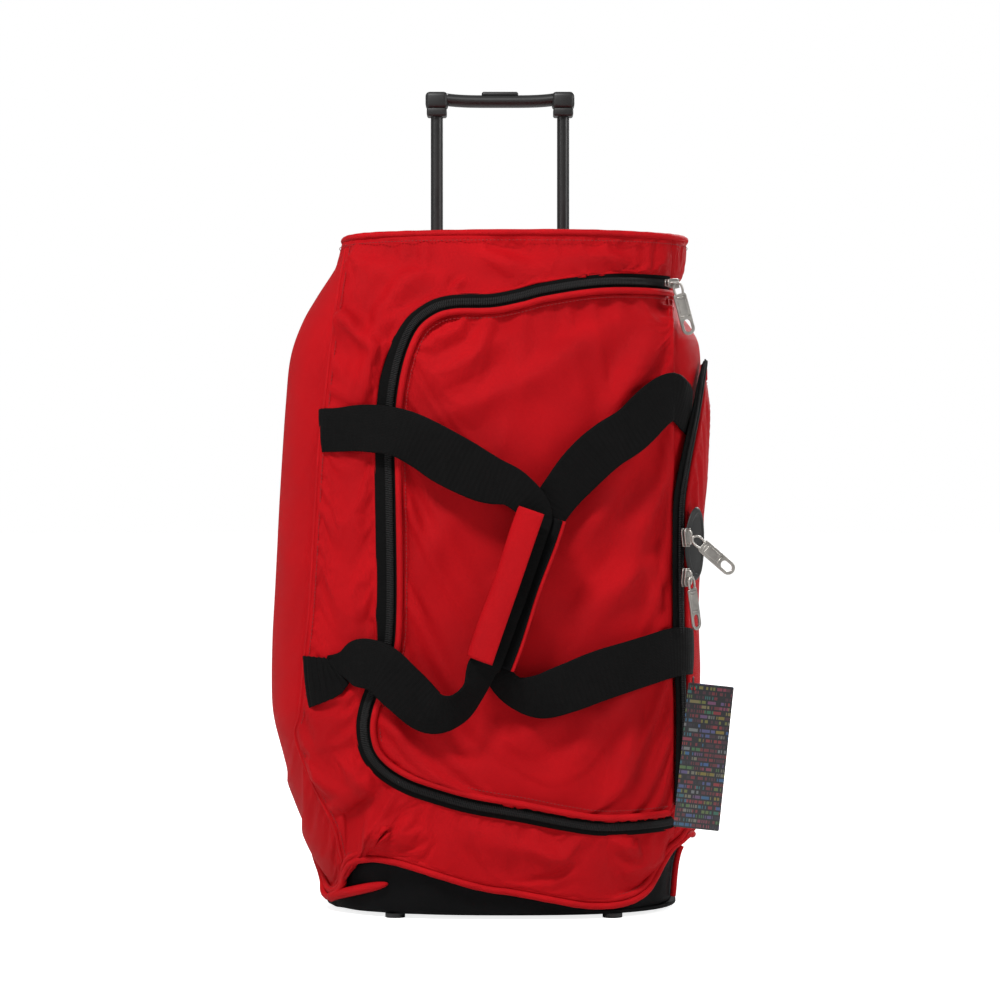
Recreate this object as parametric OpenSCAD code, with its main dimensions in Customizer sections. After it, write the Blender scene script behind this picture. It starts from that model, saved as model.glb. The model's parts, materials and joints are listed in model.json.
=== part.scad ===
// Rolling duffel bag, standing on its wheel end.
// The front, with the U-shaped zip, faces -Y. +X is to the right and +Z is up.
// The origin is the bottom centre of the box round the whole bag.

/* [Bag] */
// Height of the fabric bag, from the floor to its top piping
bag_h = 620; // [600:5:640]
// Width of the bag across its widest place
bag_w = 395; // [385:5:405]
// Depth from the middle of the section to the front face
front_depth = 140; // [134:1:144]
// Depth from the middle of the section to the back face
back_depth = 140; // [138:1:141]
// Thickness of the lined fabric panels
panel_t = 3; // [2:0.5:3]
// Radius of the piping cord
piping_r = 3; // [2:0.5:3]

/* [Zips] */
// Width of each half of the zip tape
tape_half = 6; // [5:0.5:7]
// Width of each slider body
slider_w = 9; // [8:1:11]
// Length of each puller, from its pin to its tip
puller_l = 46; // [40:1:50]

/* [Carry handles] */
// Width of the webbing
strap_w = 40; // [34:1:42]
// Thickness of the webbing
strap_t = 2.4; // [1.5:0.1:2.6]

/* [Trolley handle] */
// Distance between the middles of the two tubes
tube_gap = 124; // [110:2:128]
// Outside diameter of the sliding tubes
tube_d = 12; // [11:0.5:12]
// Height of the top of the grip, in the half drawn out place
grip_top = 778; // [770:1:790]

/* [Wheels] */
// Radius of the wheels
wheel_r = 30; // [26:1:30]
// Width of the tyres
wheel_w = 22; // [18:1:22]
// Distance from the middle of the bag to the middle of each wheel
wheel_x = 125; // [118:1:126]

/* [Hidden] */
$fn = 48;
kw = bag_w / 395;
kh = bag_h / 620;
mid_y = 15;
front_n = 2.6;
back_n = 5.5;
floor_gap = 4;
cut = 0.3;
seam_gap = 1.8;
hinge_x = 156;

// Left and right outlines, each as [height, x]
left_edge = [[0, -153], [18, -153], [30, -156], [66, -174], [108, -186], [147, -197], [175, -204],
  [189, -205], [247, -205], [300, -203], [378, -199], [468, -194], [516, -188], [543, -179],
  [567, -166], [598, -147], [620, -137]];
right_edge = [[0, 166], [12, 171], [44, 172], [70, 180], [110, 185], [202, 190], [448, 191], [523, 192],
  [538, 186], [554, 172], [591, 173], [606, 176], [620, 170]];
// Share of the full front depth at each height
depth_share = [[0, 0.84], [60, 0.91], [150, 0.98], [240, 1], [450, 1], [540, 0.93], [600, 0.8], [620, 0.75]];
// Middle of the main zip, from its top right end round to its bottom right end
zip_pts = [[148, 575], [92, 574], [41, 567], [-11, 557], [-54, 550], [-83, 521], [-96, 468], [-98, 380],
  [-96, 290], [-99, 240], [-113, 205], [-121, 178], [-113, 148], [-81, 122], [-36, 109], [32, 95],
  [95, 85], [148, 85]];
// Outer edge of the front frame, point by point across from the zip
rim_pts = [[156, 609], [95, 610], [45, 610], [-12, 609], [-80, 608], [-140, 600], [-151, 480], [-160, 380],
  [-165, 290], [-167, 240], [-170, 205], [-171, 170], [-163, 125], [-142, 51], [-75, 58], [16, 34],
  [97, 21], [154, 54]];
// Top edge of the boot round the section, as [angle, height]
boot_edge = [[-9, 62], [10, 62], [20, 50], [30, 37], [42, 18], [60, 13], [75, 15], [90, 24], [105, 41],
  [118, 51], [135, 45], [150, 34], [165, 37], [180, 52], [189, 62]];
// Middle of the side pocket's zip, from its top to its bottom
pocket_pts = [[188, 500], [183, 470], [178, 440], [172, 410], [168, 380], [167, 349], [167, 300], [168, 240],
  [169, 190], [168, 150], [166, 100]];
// Left seam of the front, as [height, x]
seam_left = [[0, -146], [40, -146], [125, -167], [170, -175], [205, -173], [290, -168], [380, -163],
  [480, -154], [585, -145], [620, -140]];
// Webbing loops: [x, height, lift off the flap, width]
left_loop = [[-137, 441, 5, 40], [-119, 442, 11, 40], [-89, 440, 16, 40], [-65, 429, 17, 40],
  [-40, 415, 18, 40], [-16, 400, 19, 36], [10, 387, 20, 31], [28, 367, 21, 28], [24, 345, 21, 28],
  [-8, 245, 21, 28], [-15, 229, 20, 26], [-24, 208, 19, 24], [-40, 193, 18, 26], [-62, 192, 17, 34],
  [-86, 210, 16, 38], [-106, 230, 15, 40], [-122, 238, 11, 40], [-137, 232, 6, 40]];
right_loop = [[156, 462, 7, 40], [122, 446, 9, 40], [95, 430, 9, 40], [73, 410, 8, 38], [52, 384, 7, 36],
  [38, 362, 6, 32], [28, 338, 5, 32], [-2, 245, 5, 32], [-1, 222, 6, 26], [12, 207, 8, 26],
  [34, 203, 9, 34], [57, 211, 9, 40], [108, 226, 9, 40], [156, 239, 7, 40]];
wrap_axis = [[28, 359], [-11, 232]];

tube_x = tube_gap / 2;
tube_y = 140;
tube_r = tube_d / 2;
guide_r = tube_r + 0.08;
outer_r = tube_r + 2;
outer_wall = 1;
foot_z = 200;
foot_h = 12;
outer_top = 606;
grip_h = 24;
grip_z = grip_top - grip_h;
grip_depth = 24;
block_w = 22;
bar_h = 12;
yoke_h = 3;
yoke_z = grip_top - 7;
press = 2.5;
rod_r = 2;
pin_r = 1.5;
axle_r = 3;
wheel_y = 126;
well_gap = 3;
base_y = 88;
base_h = 60;
boot_t = 3;
top_z = 611 * kh;
bracket_y = 130;
bracket_back = 151;
upper_bracket_z = 560;
board_y = 126;
board_x = 128;
board_t = 3;
rail_x = 100;
rail_z = 80;
rail_h = 470 * kh;
rail_w = 14;
wrap_y = -147.5;
wrap_half_w = 21;
wrap_half_t = 11.5;
puller_w = 13;
puller_t = 1.8;

// ---- Shape of the bag ----

function lerp(a, b, t) = a + (b - a) * t;
function unit(v) = v / norm(v);
function edge_l(z) = kw * lookup(z / kh, left_edge);
function edge_r(z) = kw * lookup(z / kh, right_edge);
function mid_x(z) = (edge_l(z) + edge_r(z)) / 2;
function half_w(z) = (edge_r(z) - edge_l(z)) / 2;
function depth_at(z) = front_depth * lookup(z / kh, depth_share);
function signed_pow(a, p) = sign(a) * pow(abs(a), p);

// Point on the bag at a section angle: 0 is the right side, 90 the front. d is the distance outside the skin.
function skin(a, z, d = 0) =
  let (n = sin(a) > 0 ? front_n : back_n, deep = sin(a) > 0 ? depth_at(z) : back_depth)
  [mid_x(z) + (half_w(z) + d) * signed_pow(cos(a), 2 / n), mid_y - (deep + d) * signed_pow(sin(a), 2 / n), z];

// Front face: y for a given x and height
function share(x, z, d = 0) = max(-0.999, min(0.999, (x - mid_x(z)) / (half_w(z) + d)));
function front_y(x, z, d = 0) =
  mid_y - (depth_at(z) + d) * pow(1 - pow(abs(share(x, z, d)), front_n), 1 / front_n);
function angle_of(x, z, d = 0) = acos(signed_pow(share(x, z, d), front_n / 2));
function on_front(p, d = 0) = [p[0], front_y(p[0], p[1], d), p[1]];

// ---- Curves ----

function lay(pts) = [for (p = pts) [p[0] * kw, p[1] * kh, each [for (k = [2:1:len(p) - 1]) p[k]]]];
function at(list, i) = list[max(0, min(len(list) - 1, i))];
// A smooth curve through the points, with n steps between each two
function smooth(pts, n) = [for (i = [0:len(pts) - 2], k = [0:n - 1]) spline(pts, i, k / n), at(pts, len(pts))];
function spline(p, i, t) =
  let (a = at(p, i - 1), b = at(p, i), c = at(p, i + 1), d = at(p, i + 2))
  b + t * (c - a) / 2 + t * t * (2 * a - 5 * b + 4 * c - d) / 2 + t * t * t * (3 * (b - c) + d - a) / 2;
function along(list, i) = unit(at(list, i + 1) - at(list, i - 1));
// Unit vector at right angles to a line on the front, towards its inner side
function inward(pts, i) = let (t = along(pts, i)) [-t[1], t[0]];
function shifted(pts, off) = [for (i = [0:len(pts) - 1]) pts[i] + off * inward(pts, i)];
function level(z0, z1, n) = [for (k = [0:n]) lerp(z0, z1, k / n)];

// ---- Closed solids from a grid of points ----

function grid_normal(g, i, j) =
  let (n = len(g) - 1, m = len(g[0]) - 1)
  unit(cross(g[min(n, i + 1)][j] - g[max(0, i - 1)][j], g[i][min(m, j + 1)] - g[i][max(0, j - 1)]));

// A sheet with its outer face on the grid and its thickness inwards
module sheet(g, t) {
  n = len(g);
  m = len(g[0]);
  outer = [for (i = [0:n - 1], j = [0:m - 1]) g[i][j]];
  inner = [for (i = [0:n - 1], j = [0:m - 1]) g[i][j] - t * grid_normal(g, i, j)];
  s = n * m;
  rim = concat([for (i = [0:n - 1]) i * m], [for (j = [1:m - 1]) (n - 1) * m + j],
    [for (i = [n - 2:-1:0]) i * m + m - 1], [for (j = [m - 2:-1:1]) j]);
  faces = concat(
    [for (i = [0:n - 2], j = [0:m - 2]) let (a = i * m + j) each [[a, a + 1, a + m + 1], [a, a + m + 1, a + m]]],
    [for (i = [0:n - 2], j = [0:m - 2]) let (a = s + i * m + j)
      each [[a, a + m + 1, a + 1], [a, a + m, a + m + 1]]],
    [for (k = [0:len(rim) - 1]) let (a = rim[k], b = rim[(k + 1) % len(rim)])
      each [[a, b, s + b], [a, s + b, s + a]]]);
  polyhedron(concat(outer, inner), faces, convexity = 10);
}

// A round cord along a line. ref is a direction that the line never follows.
module cord_along(path, r, sides = 8, ref = [0, 1, 0]) {
  n = len(path);
  rings = [for (i = [0:n - 1], k = [0:sides - 1])
    let (t = along(path, i), b = unit(cross(ref, t)), a = 360 * k / sides)
    path[i] + r * (cos(a) * b + sin(a) * cross(t, b))];
  faces = concat(
    [for (i = [0:n - 2], k = [0:sides - 1]) let (a = i * sides, q = (k + 1) % sides)
      each [[a + k, a + sides + k, a + sides + q], [a + k, a + sides + q, a + q]]],
    [[for (k = [0:sides - 1]) k]],
    [[for (k = [sides - 1:-1:0]) (n - 1) * sides + k]]);
  polyhedron(rings, faces, convexity = 10);
}

// ---- Panels ----

zip_line = smooth(lay(zip_pts), 3);
rim_line = smooth(lay(rim_pts), 3);
function boot_top(a) = kh * lookup(a, boot_edge);
function pocket_line() = smooth(lay(pocket_pts), 3);

module front_frame() {
  steps = 4;
  inner = shifted(zip_line, -tape_half - cut);
  color("crimson")
    sheet([for (i = [0:len(zip_line) - 1]) [for (j = [0:steps]) on_front(lerp(rim_line[i], inner[i], j / steps))]],
      panel_t);
}

// Part of the skin from one section angle to another, with its bottom edge at a height that the angle sets
module side_skin(a_back, seam_x, from_back, z_top, across, up) {
  grid = [for (i = [0:across]) let (u = from_back ? i / across : 1 - i / across,
      a0 = angle_of(seam_x(60 * kh), 60 * kh), a_low = lerp(a_back, a0, u),
      z0 = (a_low > -9 && a_low < 189 ? boot_top(a_low) : base_h + floor_gap) + 5)
    [for (z = level(z0, z_top, up)) skin(lerp(a_back, angle_of(seam_x(z), z), u), z)]];
  sheet(grid, panel_t);
}

module side_panel_left() {
  color("crimson") side_skin(224, function(z) kw * lookup(z / kh, seam_left) - seam_gap, true, top_z, 12, 22);
}

module side_panel_right() {
  color("crimson") side_skin(-42, function(z) kw * 160, false, top_z, 12, 22);
}

module back_panel() {
  color([0.1, 0.1, 0.1])
    sheet([for (a = [-45:-7.5:-135]) [for (z = level(base_h + floor_gap + 2, top_z, 14)) skin(a, z)]], panel_t);
}

module section_outline(z, d, step = 6) {
  polygon([for (a = [0:step:359]) let (p = skin(a, z, d)) [p[0], p[1]]]);
}

module top_end_panel() {
  color("crimson") difference() {
    translate([0, 0, top_z]) linear_extrude(panel_t) section_outline(top_z, -4);
    for (x = [-tube_x, tube_x]) translate([x, tube_y, 600 * kh]) cylinder(r = outer_r + 2.5, h = 30);
  }
}

module boot_shell() {
  color([0.08, 0.08, 0.08])
    sheet([for (a = [189:-3:-9]) [for (z = level(floor_gap, boot_top(a), 3)) skin(a, z)]], boot_t);
}

module base_panel() {
  color([0.08, 0.08, 0.08]) translate([0, 0, floor_gap]) linear_extrude(panel_t) intersection() {
    section_outline(floor_gap, -boot_t - cut);
    translate([-200, -200]) square([400, 200 + base_y - 1]);
  }
}

module back_board() {
  color([0.2, 0.2, 0.2]) translate([-board_x, board_y, base_h + 6]) cube([2 * board_x, board_t, 540 * kh]);
}

module top_piping() {
  color("crimson")
    cord_along([for (a = [262:-5:-83]) skin(a, top_z + piping_r + cut + 2.6)], piping_r, 8, [0, 0, 1]);
}

module bottom_piping() {
  color("crimson")
    cord_along([for (a = [188:-4:-8]) skin(a, boot_top(a) + 1, piping_r + cut)], piping_r, 8, [0, 0, 1]);
}

// ---- Zips ----

module tape(line, from, to) {
  color([0.07, 0.07, 0.07]) sheet([for (i = [0:len(line) - 1])
    [for (off = [from, to]) on_front(line[i] + off * inward(line, i))]], 1.2);
}

module coil(off, last) {
  line = shifted(zip_line, off);
  color([0.12, 0.12, 0.12]) cord_along([for (i = [0:last]) on_front(line[i], 1.6)], 1.2, 6);
}

module zip_tape_frame() { tape(zip_line, -tape_half, -0.6); }
module zip_coil_frame() { coil(-2, len(zip_line) - 1); }
module zip_tape_flap() { tape(zip_line, 0.6, tape_half - 2); }
module zip_coil_flap() { coil(2, len(zip_line) - 1); }

module flap_panel() {
  steps = 10;
  edge = shifted(zip_line, tape_half + cut + 0.6);
  n = len(edge) - 1;
  side = [for (i = [0:n]) [kw * (hinge_x - 3), lerp(edge[0][1], edge[n][1], i / n)]];
  color("crimson") sheet([for (i = [0:n]) [for (j = [0:steps]) on_front(lerp(edge[i], side[i], j / steps))]], panel_t);
}

module flap_piping() {
  line = shifted(zip_line, tape_half + cut + piping_r);
  color("crimson") cord_along([for (p = line) on_front(p, piping_r + cut)], piping_r);
}

// ---- Side pocket ----

pocket_d = 2.6;

module pocket_panel() {
  line = pocket_line();
  n = len(line) - 1;
  across = 8;
  color("crimson") sheet([for (j = [0:across]) [for (i = [n:-1:0])
    let (z = line[i][1], a0 = angle_of(line[i][0] + tape_half, z, pocket_d), u = j / across,
      bulge = 6.5 * sin(180 * u) * sqrt(sin(180 * i / n) + 0.001))
    skin(lerp(a0, -36, u), z, pocket_d + bulge)]], 2);
}

module pocket_zip_tape() {
  line = pocket_line();
  half = tape_half - 1;
  color([0.07, 0.07, 0.07]) sheet([for (off = [-half, half]) [for (i = [len(line) - 1:-1:0])
    let (z = line[i][1]) skin(angle_of(line[i][0] + off, z, pocket_d), z, pocket_d)]], 1.2);
}

module pocket_zip_coil() {
  color([0.12, 0.12, 0.12])
    cord_along([for (p = pocket_line()) let (z = p[1]) skin(angle_of(p[0], z, pocket_d), z, pocket_d + 2.2)], 1.8, 6);
}

module pocket_badge() {
  turn = 26;
  p = skin(24, 338 * kh, pocket_d + 7.5);
  color([0.1, 0.1, 0.1]) translate(p) rotate([0, 90, -turn]) linear_extrude(1.5) scale([1.3, 0.9]) circle(d = 50);
}

// ---- Carry handles ----

// Webbing along points of [x, height, lift, width]
module webbing(pts, n = 3) {
  line = smooth(lay(pts), n);
  flat = [for (p = line) [p[0], p[1]]];
  mid = [for (p = line) [p[0], front_y(p[0], p[1]) - p[2], p[1]]];
  color([0.09, 0.09, 0.09]) sheet([for (i = [0:len(line) - 1])
    let (side = inward(flat, i), w = line[i][3] * strap_w / 40 / 2)
    [for (s = [-1, 1]) mid[i] + s * w * [side[0], 0, side[1]] - [0, strap_t / 2, 0]]], strap_t);
}

module handle_left_strap() { webbing(left_loop); }
module handle_right_strap() { webbing([for (i = [len(right_loop) - 1:-1:0]) right_loop[i]]); }

// Short sewn ends of the webbing, flat on the skin
module strap_end(x0, x1, z) {
  steps = 3;
  color([0.09, 0.09, 0.09]) sheet([for (i = [0:steps]) [for (s = [-1, 0, 1])
    on_front([kw * lerp(x0, x1, i / steps), kh * z + s * strap_w / 2], strap_t + 1.6)]], strap_t);
}

module strap_ends() {
  strap_end(-152, -139, 441);
  strap_end(-153, -139, 231);
  strap_end(158.5, 165.5, 462);
  strap_end(158.2, 161.6, 239);
}

// Sleeve round the left grip, open along its rear side, lying along the wrap axis
module handle_wrap() {
  a = lay(wrap_axis);
  low = a[1];
  dir = unit(a[0] - a[1]);
  side = [dir[1], -dir[0]];
  long = norm(a[0] - a[1]);
  color("crimson") sheet([for (q = [-235:12.5:65]) [for (s = [0, 0.5, 1])
    let (c = low + s * long * dir, across = wrap_half_w * cos(q), out = wrap_half_t * sin(q))
    [c[0] + across * side[0], wrap_y + out, c[1] + across * side[1]]]], 2);
}

// ---- Sliders and pullers ----

function slider_spot(p, d) = skin(angle_of(p[0] * kw, p[1] * kh, d), p[1] * kh, d);
main_spot = on_front([156 * kw, 576 * kh], 4);
upper_spot = slider_spot([167.5, 344], pocket_d + 5.2);
lower_spot = slider_spot([167.5, 308], pocket_d + 5.2);
zip_turn = 50;

// A slider body with its bridge, its face towards -Y, along Z
module slider_body() {
  color("silver") rotate([90, 0, 0]) {
    linear_extrude(2.5) hull() {
      translate([0, 5]) circle(d = slider_w);
      translate([0, -6]) circle(d = slider_w - 3);
    }
    translate([-1.6, -5, 2]) cube([3.2, 10, 2.5]);
  }
}

// A flat puller that hangs down from its pin, with a ring at the top and an open loop at the bottom
module puller_plate() {
  tip = -puller_l + puller_w / 2;
  color("silver") rotate([90, 0, 0]) linear_extrude(puller_t) difference() {
    union() {
      translate([0, -1.5]) circle(d = 10);
      translate([-4.5, -8]) square([9, 6]);
      translate([-puller_w / 2, tip]) square([puller_w, -7 - tip]);
      translate([0, tip]) circle(d = puller_w);
    }
    translate([0, -2]) circle(d = 5);
    translate([0, tip]) circle(d = puller_w - 6);
    translate([-puller_w / 2 + 3, tip]) square([puller_w - 6, 6]);
  }
}

module main_slider() { translate(main_spot) rotate([0, 0, zip_turn]) rotate([0, 90, 0]) slider_body(); }
module main_puller() {
  translate(main_spot + 5.5 * [sin(zip_turn), -cos(zip_turn), 0])
    rotate([0, 0, zip_turn]) rotate([0, -10, 0]) rotate([-18, 0, 0]) puller_plate();
}
module upper_pocket_slider() { translate(upper_spot) rotate([0, 0, zip_turn]) slider_body(); }
module upper_pocket_puller() {
  translate(upper_spot + 8.6 * [sin(zip_turn), -cos(zip_turn), 0])
    rotate([0, 0, zip_turn]) rotate([0, -50, 0]) puller_plate();
}
module lower_pocket_slider() {
  translate(lower_spot) rotate([0, 0, zip_turn]) rotate([0, 180, 0]) slider_body();
}
module lower_pocket_puller() {
  translate(lower_spot + 5.5 * [sin(zip_turn), -cos(zip_turn), 0])
    rotate([0, 0, zip_turn]) rotate([0, -12, 0]) puller_plate();
}

// ---- Hang tag ----

tag_spot = [173.5, -109, 209];
tag_w = 41;
tag_h = 130;

module hang_tag() {
  color([0.15, 0.15, 0.2]) translate(tag_spot) rotate([90, 0, 0]) rotate(-6) linear_extrude(1) difference() {
    translate([-5, -tag_h + 5]) square([tag_w - 5, tag_h]);
    circle(d = 4);
  }
}

module tag_loop() {
  color([0.1, 0.1, 0.1]) translate(tag_spot + [0, 3, 4]) rotate([0, 90, 0]) rotate_extrude()
    translate([6, 0]) circle(d = 1.2, $fn = 16);
}

// ---- Trolley handle ----

module outer_tube(x) {
  color([0.1, 0.1, 0.1]) translate([x, tube_y, base_h + 6]) difference() {
    cylinder(r = outer_r, h = outer_top * kh - base_h - 6);
    translate([0, 0, -1]) cylinder(r = outer_r - outer_wall, h = 600 * kh);
  }
}

module handle_bezel() {
  plate_z = top_z + panel_t + cut;
  color([0.07, 0.07, 0.07]) difference() {
    union() {
      translate([-tube_x - 20, tube_y - 14, plate_z]) cube([tube_gap + 40, 23, 3]);
      for (x = [-tube_x, tube_x]) translate([x, tube_y, 607 * kh]) cylinder(r = outer_r + 1.8, h = 18);
    }
    for (x = [-tube_x, tube_x]) translate([x, tube_y, 600]) cylinder(r = guide_r, h = 40);
  }
}

module tube_bracket(z) {
  color([0.3, 0.3, 0.3]) difference() {
    translate([-tube_x - 16, bracket_y, z]) cube([tube_gap + 32, bracket_back - bracket_y, 18]);
    for (x = [-tube_x, tube_x]) translate([x, tube_y, z - 1]) cylinder(r = outer_r + 0.05, h = 20);
  }
}

module tube_bracket_upper() { tube_bracket(upper_bracket_z * kh); }
module tube_bracket_lower() { tube_bracket(base_h + 24); }

module inner_tube(x) {
  color([0.06, 0.06, 0.06]) translate([x, tube_y, foot_z + foot_h]) difference() {
    cylinder(r = tube_r, h = grip_top - 12 - foot_z - foot_h);
    translate([0, 0, -1]) cylinder(r = tube_r - 1, h = 600);
  }
}

module slide_foot(x) {
  out = sign(x);
  color("white") translate([x, tube_y, foot_z]) difference() {
    union() {
      cylinder(r = outer_r - outer_wall - cut, h = foot_h - cut);
      translate([0, 0, foot_h - 1]) cylinder(r = tube_r - 1.1, h = 12);
    }
    translate([-out * 1.5, 0, foot_h / 2]) rotate([0, out * 90, 0]) cylinder(r = pin_r + 0.05, h = 20);
  }
}

module lock_pin(x) {
  out = sign(x);
  color("silver") translate([x + out * 1.5, tube_y, foot_z + foot_h / 2]) rotate([0, out * 90, 0])
    cylinder(r = pin_r, h = outer_r - outer_wall - cut - 1.7);
}

module grip_block(x) {
  translate([x - block_w / 2, tube_y - grip_depth / 2, grip_z]) linear_extrude(grip_h)
    translate([block_w / 2, grip_depth / 2]) scale([1, grip_depth / block_w]) circle(d = block_w);
  translate([x - block_w / 2, tube_y - grip_depth / 2 + 4, grip_z]) cube([block_w, grip_depth - 8, grip_h]);
}

module grip_housing() {
  span = tube_gap - block_w;
  color([0.05, 0.05, 0.05]) difference() {
    union() {
      for (x = [-tube_x, tube_x]) grip_block(x);
      translate([-span / 2 - 1, tube_y - 10, grip_top - bar_h]) cube([span + 2, 20, bar_h - 2]);
    }
    for (x = [-tube_x, tube_x]) translate([x, tube_y, grip_z - 1]) {
      cylinder(r = tube_r + 0.05, h = grip_h - 12 + 1.3);
      cylinder(r = rod_r + 1, h = grip_h - 4);
    }
    translate([-tube_x - 3, tube_y - 5, yoke_z - press - 0.5]) cube([tube_gap + 6, 10, yoke_h + press + 1]);
    translate([-6, tube_y - 5, grip_top - bar_h - 1]) cube([12, 10, 8]);
    translate([-19, tube_y - 5.5, yoke_z]) cube([38, 11, 20]);
  }
}

module grip_cover() {
  span = tube_gap - block_w;
  color([0.07, 0.07, 0.07]) translate([-span / 2 + 0.5, tube_y - 9.5, grip_top - bar_h - 2.3]) cube([span - 1, 19, 2]);
}

module release_button() {
  color([0.1, 0.1, 0.1]) translate([0, tube_y, yoke_z + yoke_h]) linear_extrude(grip_top + 0.6 - yoke_z - yoke_h)
    hull() for (x = [-13, 13]) translate([x, 0]) circle(d = 10);
}

module release_yoke() {
  color("silver") translate([-tube_x - 2, tube_y - 3, yoke_z]) cube([tube_gap + 4, 6, yoke_h]);
}

module push_rod(x) {
  low = foot_z + foot_h + 16;
  color("silver") translate([x, tube_y, low]) cylinder(r = rod_r, h = yoke_z - low);
}

module button_spring() {
  turns = 2;
  low = grip_top - bar_h + 0.4;
  high = yoke_z - 0.6;
  color("silver") cord_along([for (a = [0:30:360 * turns])
    [3 * cos(a), tube_y + 3 * sin(a), lerp(low, high, a / 360 / turns)]], 0.35, 6, [0, 0, 1]);
}

// ---- Wheels and base ----

module rear_base() {
  color([0.08, 0.08, 0.08]) difference() {
    translate([-150, base_y, floor_gap]) cube([300, 66.7, base_h]);
    for (x = [-wheel_x, wheel_x]) {
      translate([x - wheel_w / 2 - 1.5, wheel_y, wheel_r]) rotate([0, 90, 0]) {
        cylinder(r = wheel_r + well_gap, h = wheel_w + 3);
        translate([0, 0, -14]) cylinder(r = axle_r + 0.02, h = 50);
      }
      translate([x - wheel_w / 2 - 1.5, wheel_y, 0]) cube([wheel_w + 3, 40, wheel_r]);
      translate([x - wheel_w / 2 - 1.5, wheel_y - wheel_r - well_gap, 0])
        cube([wheel_w + 3, wheel_r + well_gap, wheel_r]);
    }
    translate([-105, base_y - 1, floor_gap + 3]) cube([210, 61, base_h - 6]);
  }
}

module axles() {
  color("silver") for (x = [-wheel_x, wheel_x]) translate([x - 20, wheel_y, wheel_r]) rotate([0, 90, 0])
    cylinder(r = axle_r, h = 40);
}

module ring(x, r_out, r_in, w) {
  translate([x - w / 2, wheel_y, wheel_r]) rotate([0, 90, 0]) difference() {
    cylinder(r = r_out, h = w);
    translate([0, 0, -1]) cylinder(r = r_in, h = w + 2);
  }
}

module wheel_hub(x) {
  color("dimgray") {
    ring(x, wheel_r - 8, axle_r + 0.05, wheel_w - 4);
    ring(x, axle_r + 4, axle_r + 0.05, wheel_w);
  }
}

module wheel_tyre(x) { color([0.13, 0.13, 0.13]) ring(x, wheel_r, wheel_r - 8, wheel_w); }

module skid_rails() {
  color([0.1, 0.1, 0.1]) for (x = [-rail_x, rail_x])
    translate([x - rail_w / 2, mid_y + back_depth + cut, rail_z]) difference() {
      cube([rail_w, 3.7, rail_h]);
      for (z = [20, rail_h - 20]) translate([rail_w / 2, 5, z]) rotate([90, 0, 0]) cylinder(r = 2.1, h = 8);
    }
}

module rail_screws() {
  color("silver") for (x = [-rail_x, rail_x], z = [20, rail_h - 20])
    translate([x, mid_y + back_depth + 3.2, rail_z + z]) rotate([90, 0, 0]) cylinder(r = 2, h = 2.8);
}

module front_feet() {
  color([0.1, 0.1, 0.1]) for (x = [-95, 102]) translate([x, -80, 0]) cylinder(r = 9, h = floor_gap);
}

front_frame();
side_panel_left();
side_panel_right();
back_panel();
top_end_panel();
boot_shell();
base_panel();
back_board();
top_piping();
bottom_piping();
zip_tape_frame();
zip_coil_frame();
pocket_panel();
pocket_zip_tape();
pocket_zip_coil();
pocket_badge();
strap_ends();
outer_tube(-tube_x);  // outer_tube_left
outer_tube(tube_x);  // outer_tube_right
handle_bezel();
tube_bracket_upper();
tube_bracket_lower();
rear_base();
axles();
skid_rails();
front_feet();
rail_screws();
tag_loop();
inner_tube(-tube_x);  // inner_tube_left
inner_tube(tube_x);  // inner_tube_right
slide_foot(-tube_x);  // slide_foot_left
slide_foot(tube_x);  // slide_foot_right
grip_housing();
grip_cover();
button_spring();
release_button();
release_yoke();
push_rod(-tube_x);  // push_rod_left
push_rod(tube_x);  // push_rod_right
lock_pin(-tube_x);  // lock_pin_left
lock_pin(tube_x);  // lock_pin_right
wheel_hub(-wheel_x);  // wheel_hub_left
wheel_tyre(-wheel_x);  // wheel_tyre_left
wheel_hub(wheel_x);  // wheel_hub_right
wheel_tyre(wheel_x);  // wheel_tyre_right
flap_panel();
flap_piping();
zip_tape_flap();
zip_coil_flap();
handle_left_strap();
handle_wrap();
handle_right_strap();
main_slider();
main_puller();
upper_pocket_slider();
upper_pocket_puller();
lower_pocket_slider();
lower_pocket_puller();
hang_tag();
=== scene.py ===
"""Rolling duffel bag: red polyester body, black webbing handles, zips, wheels and a telescopic handle.

Every length below is in metres unless a name ends in _mm. The front of the bag faces -Y.
"""
import json
import logging
import math
from dataclasses import dataclass
from enum import Enum
from typing import Callable, Sequence

import bmesh
import bpy
import numpy as np
from mathutils import Matrix, Vector

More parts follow.
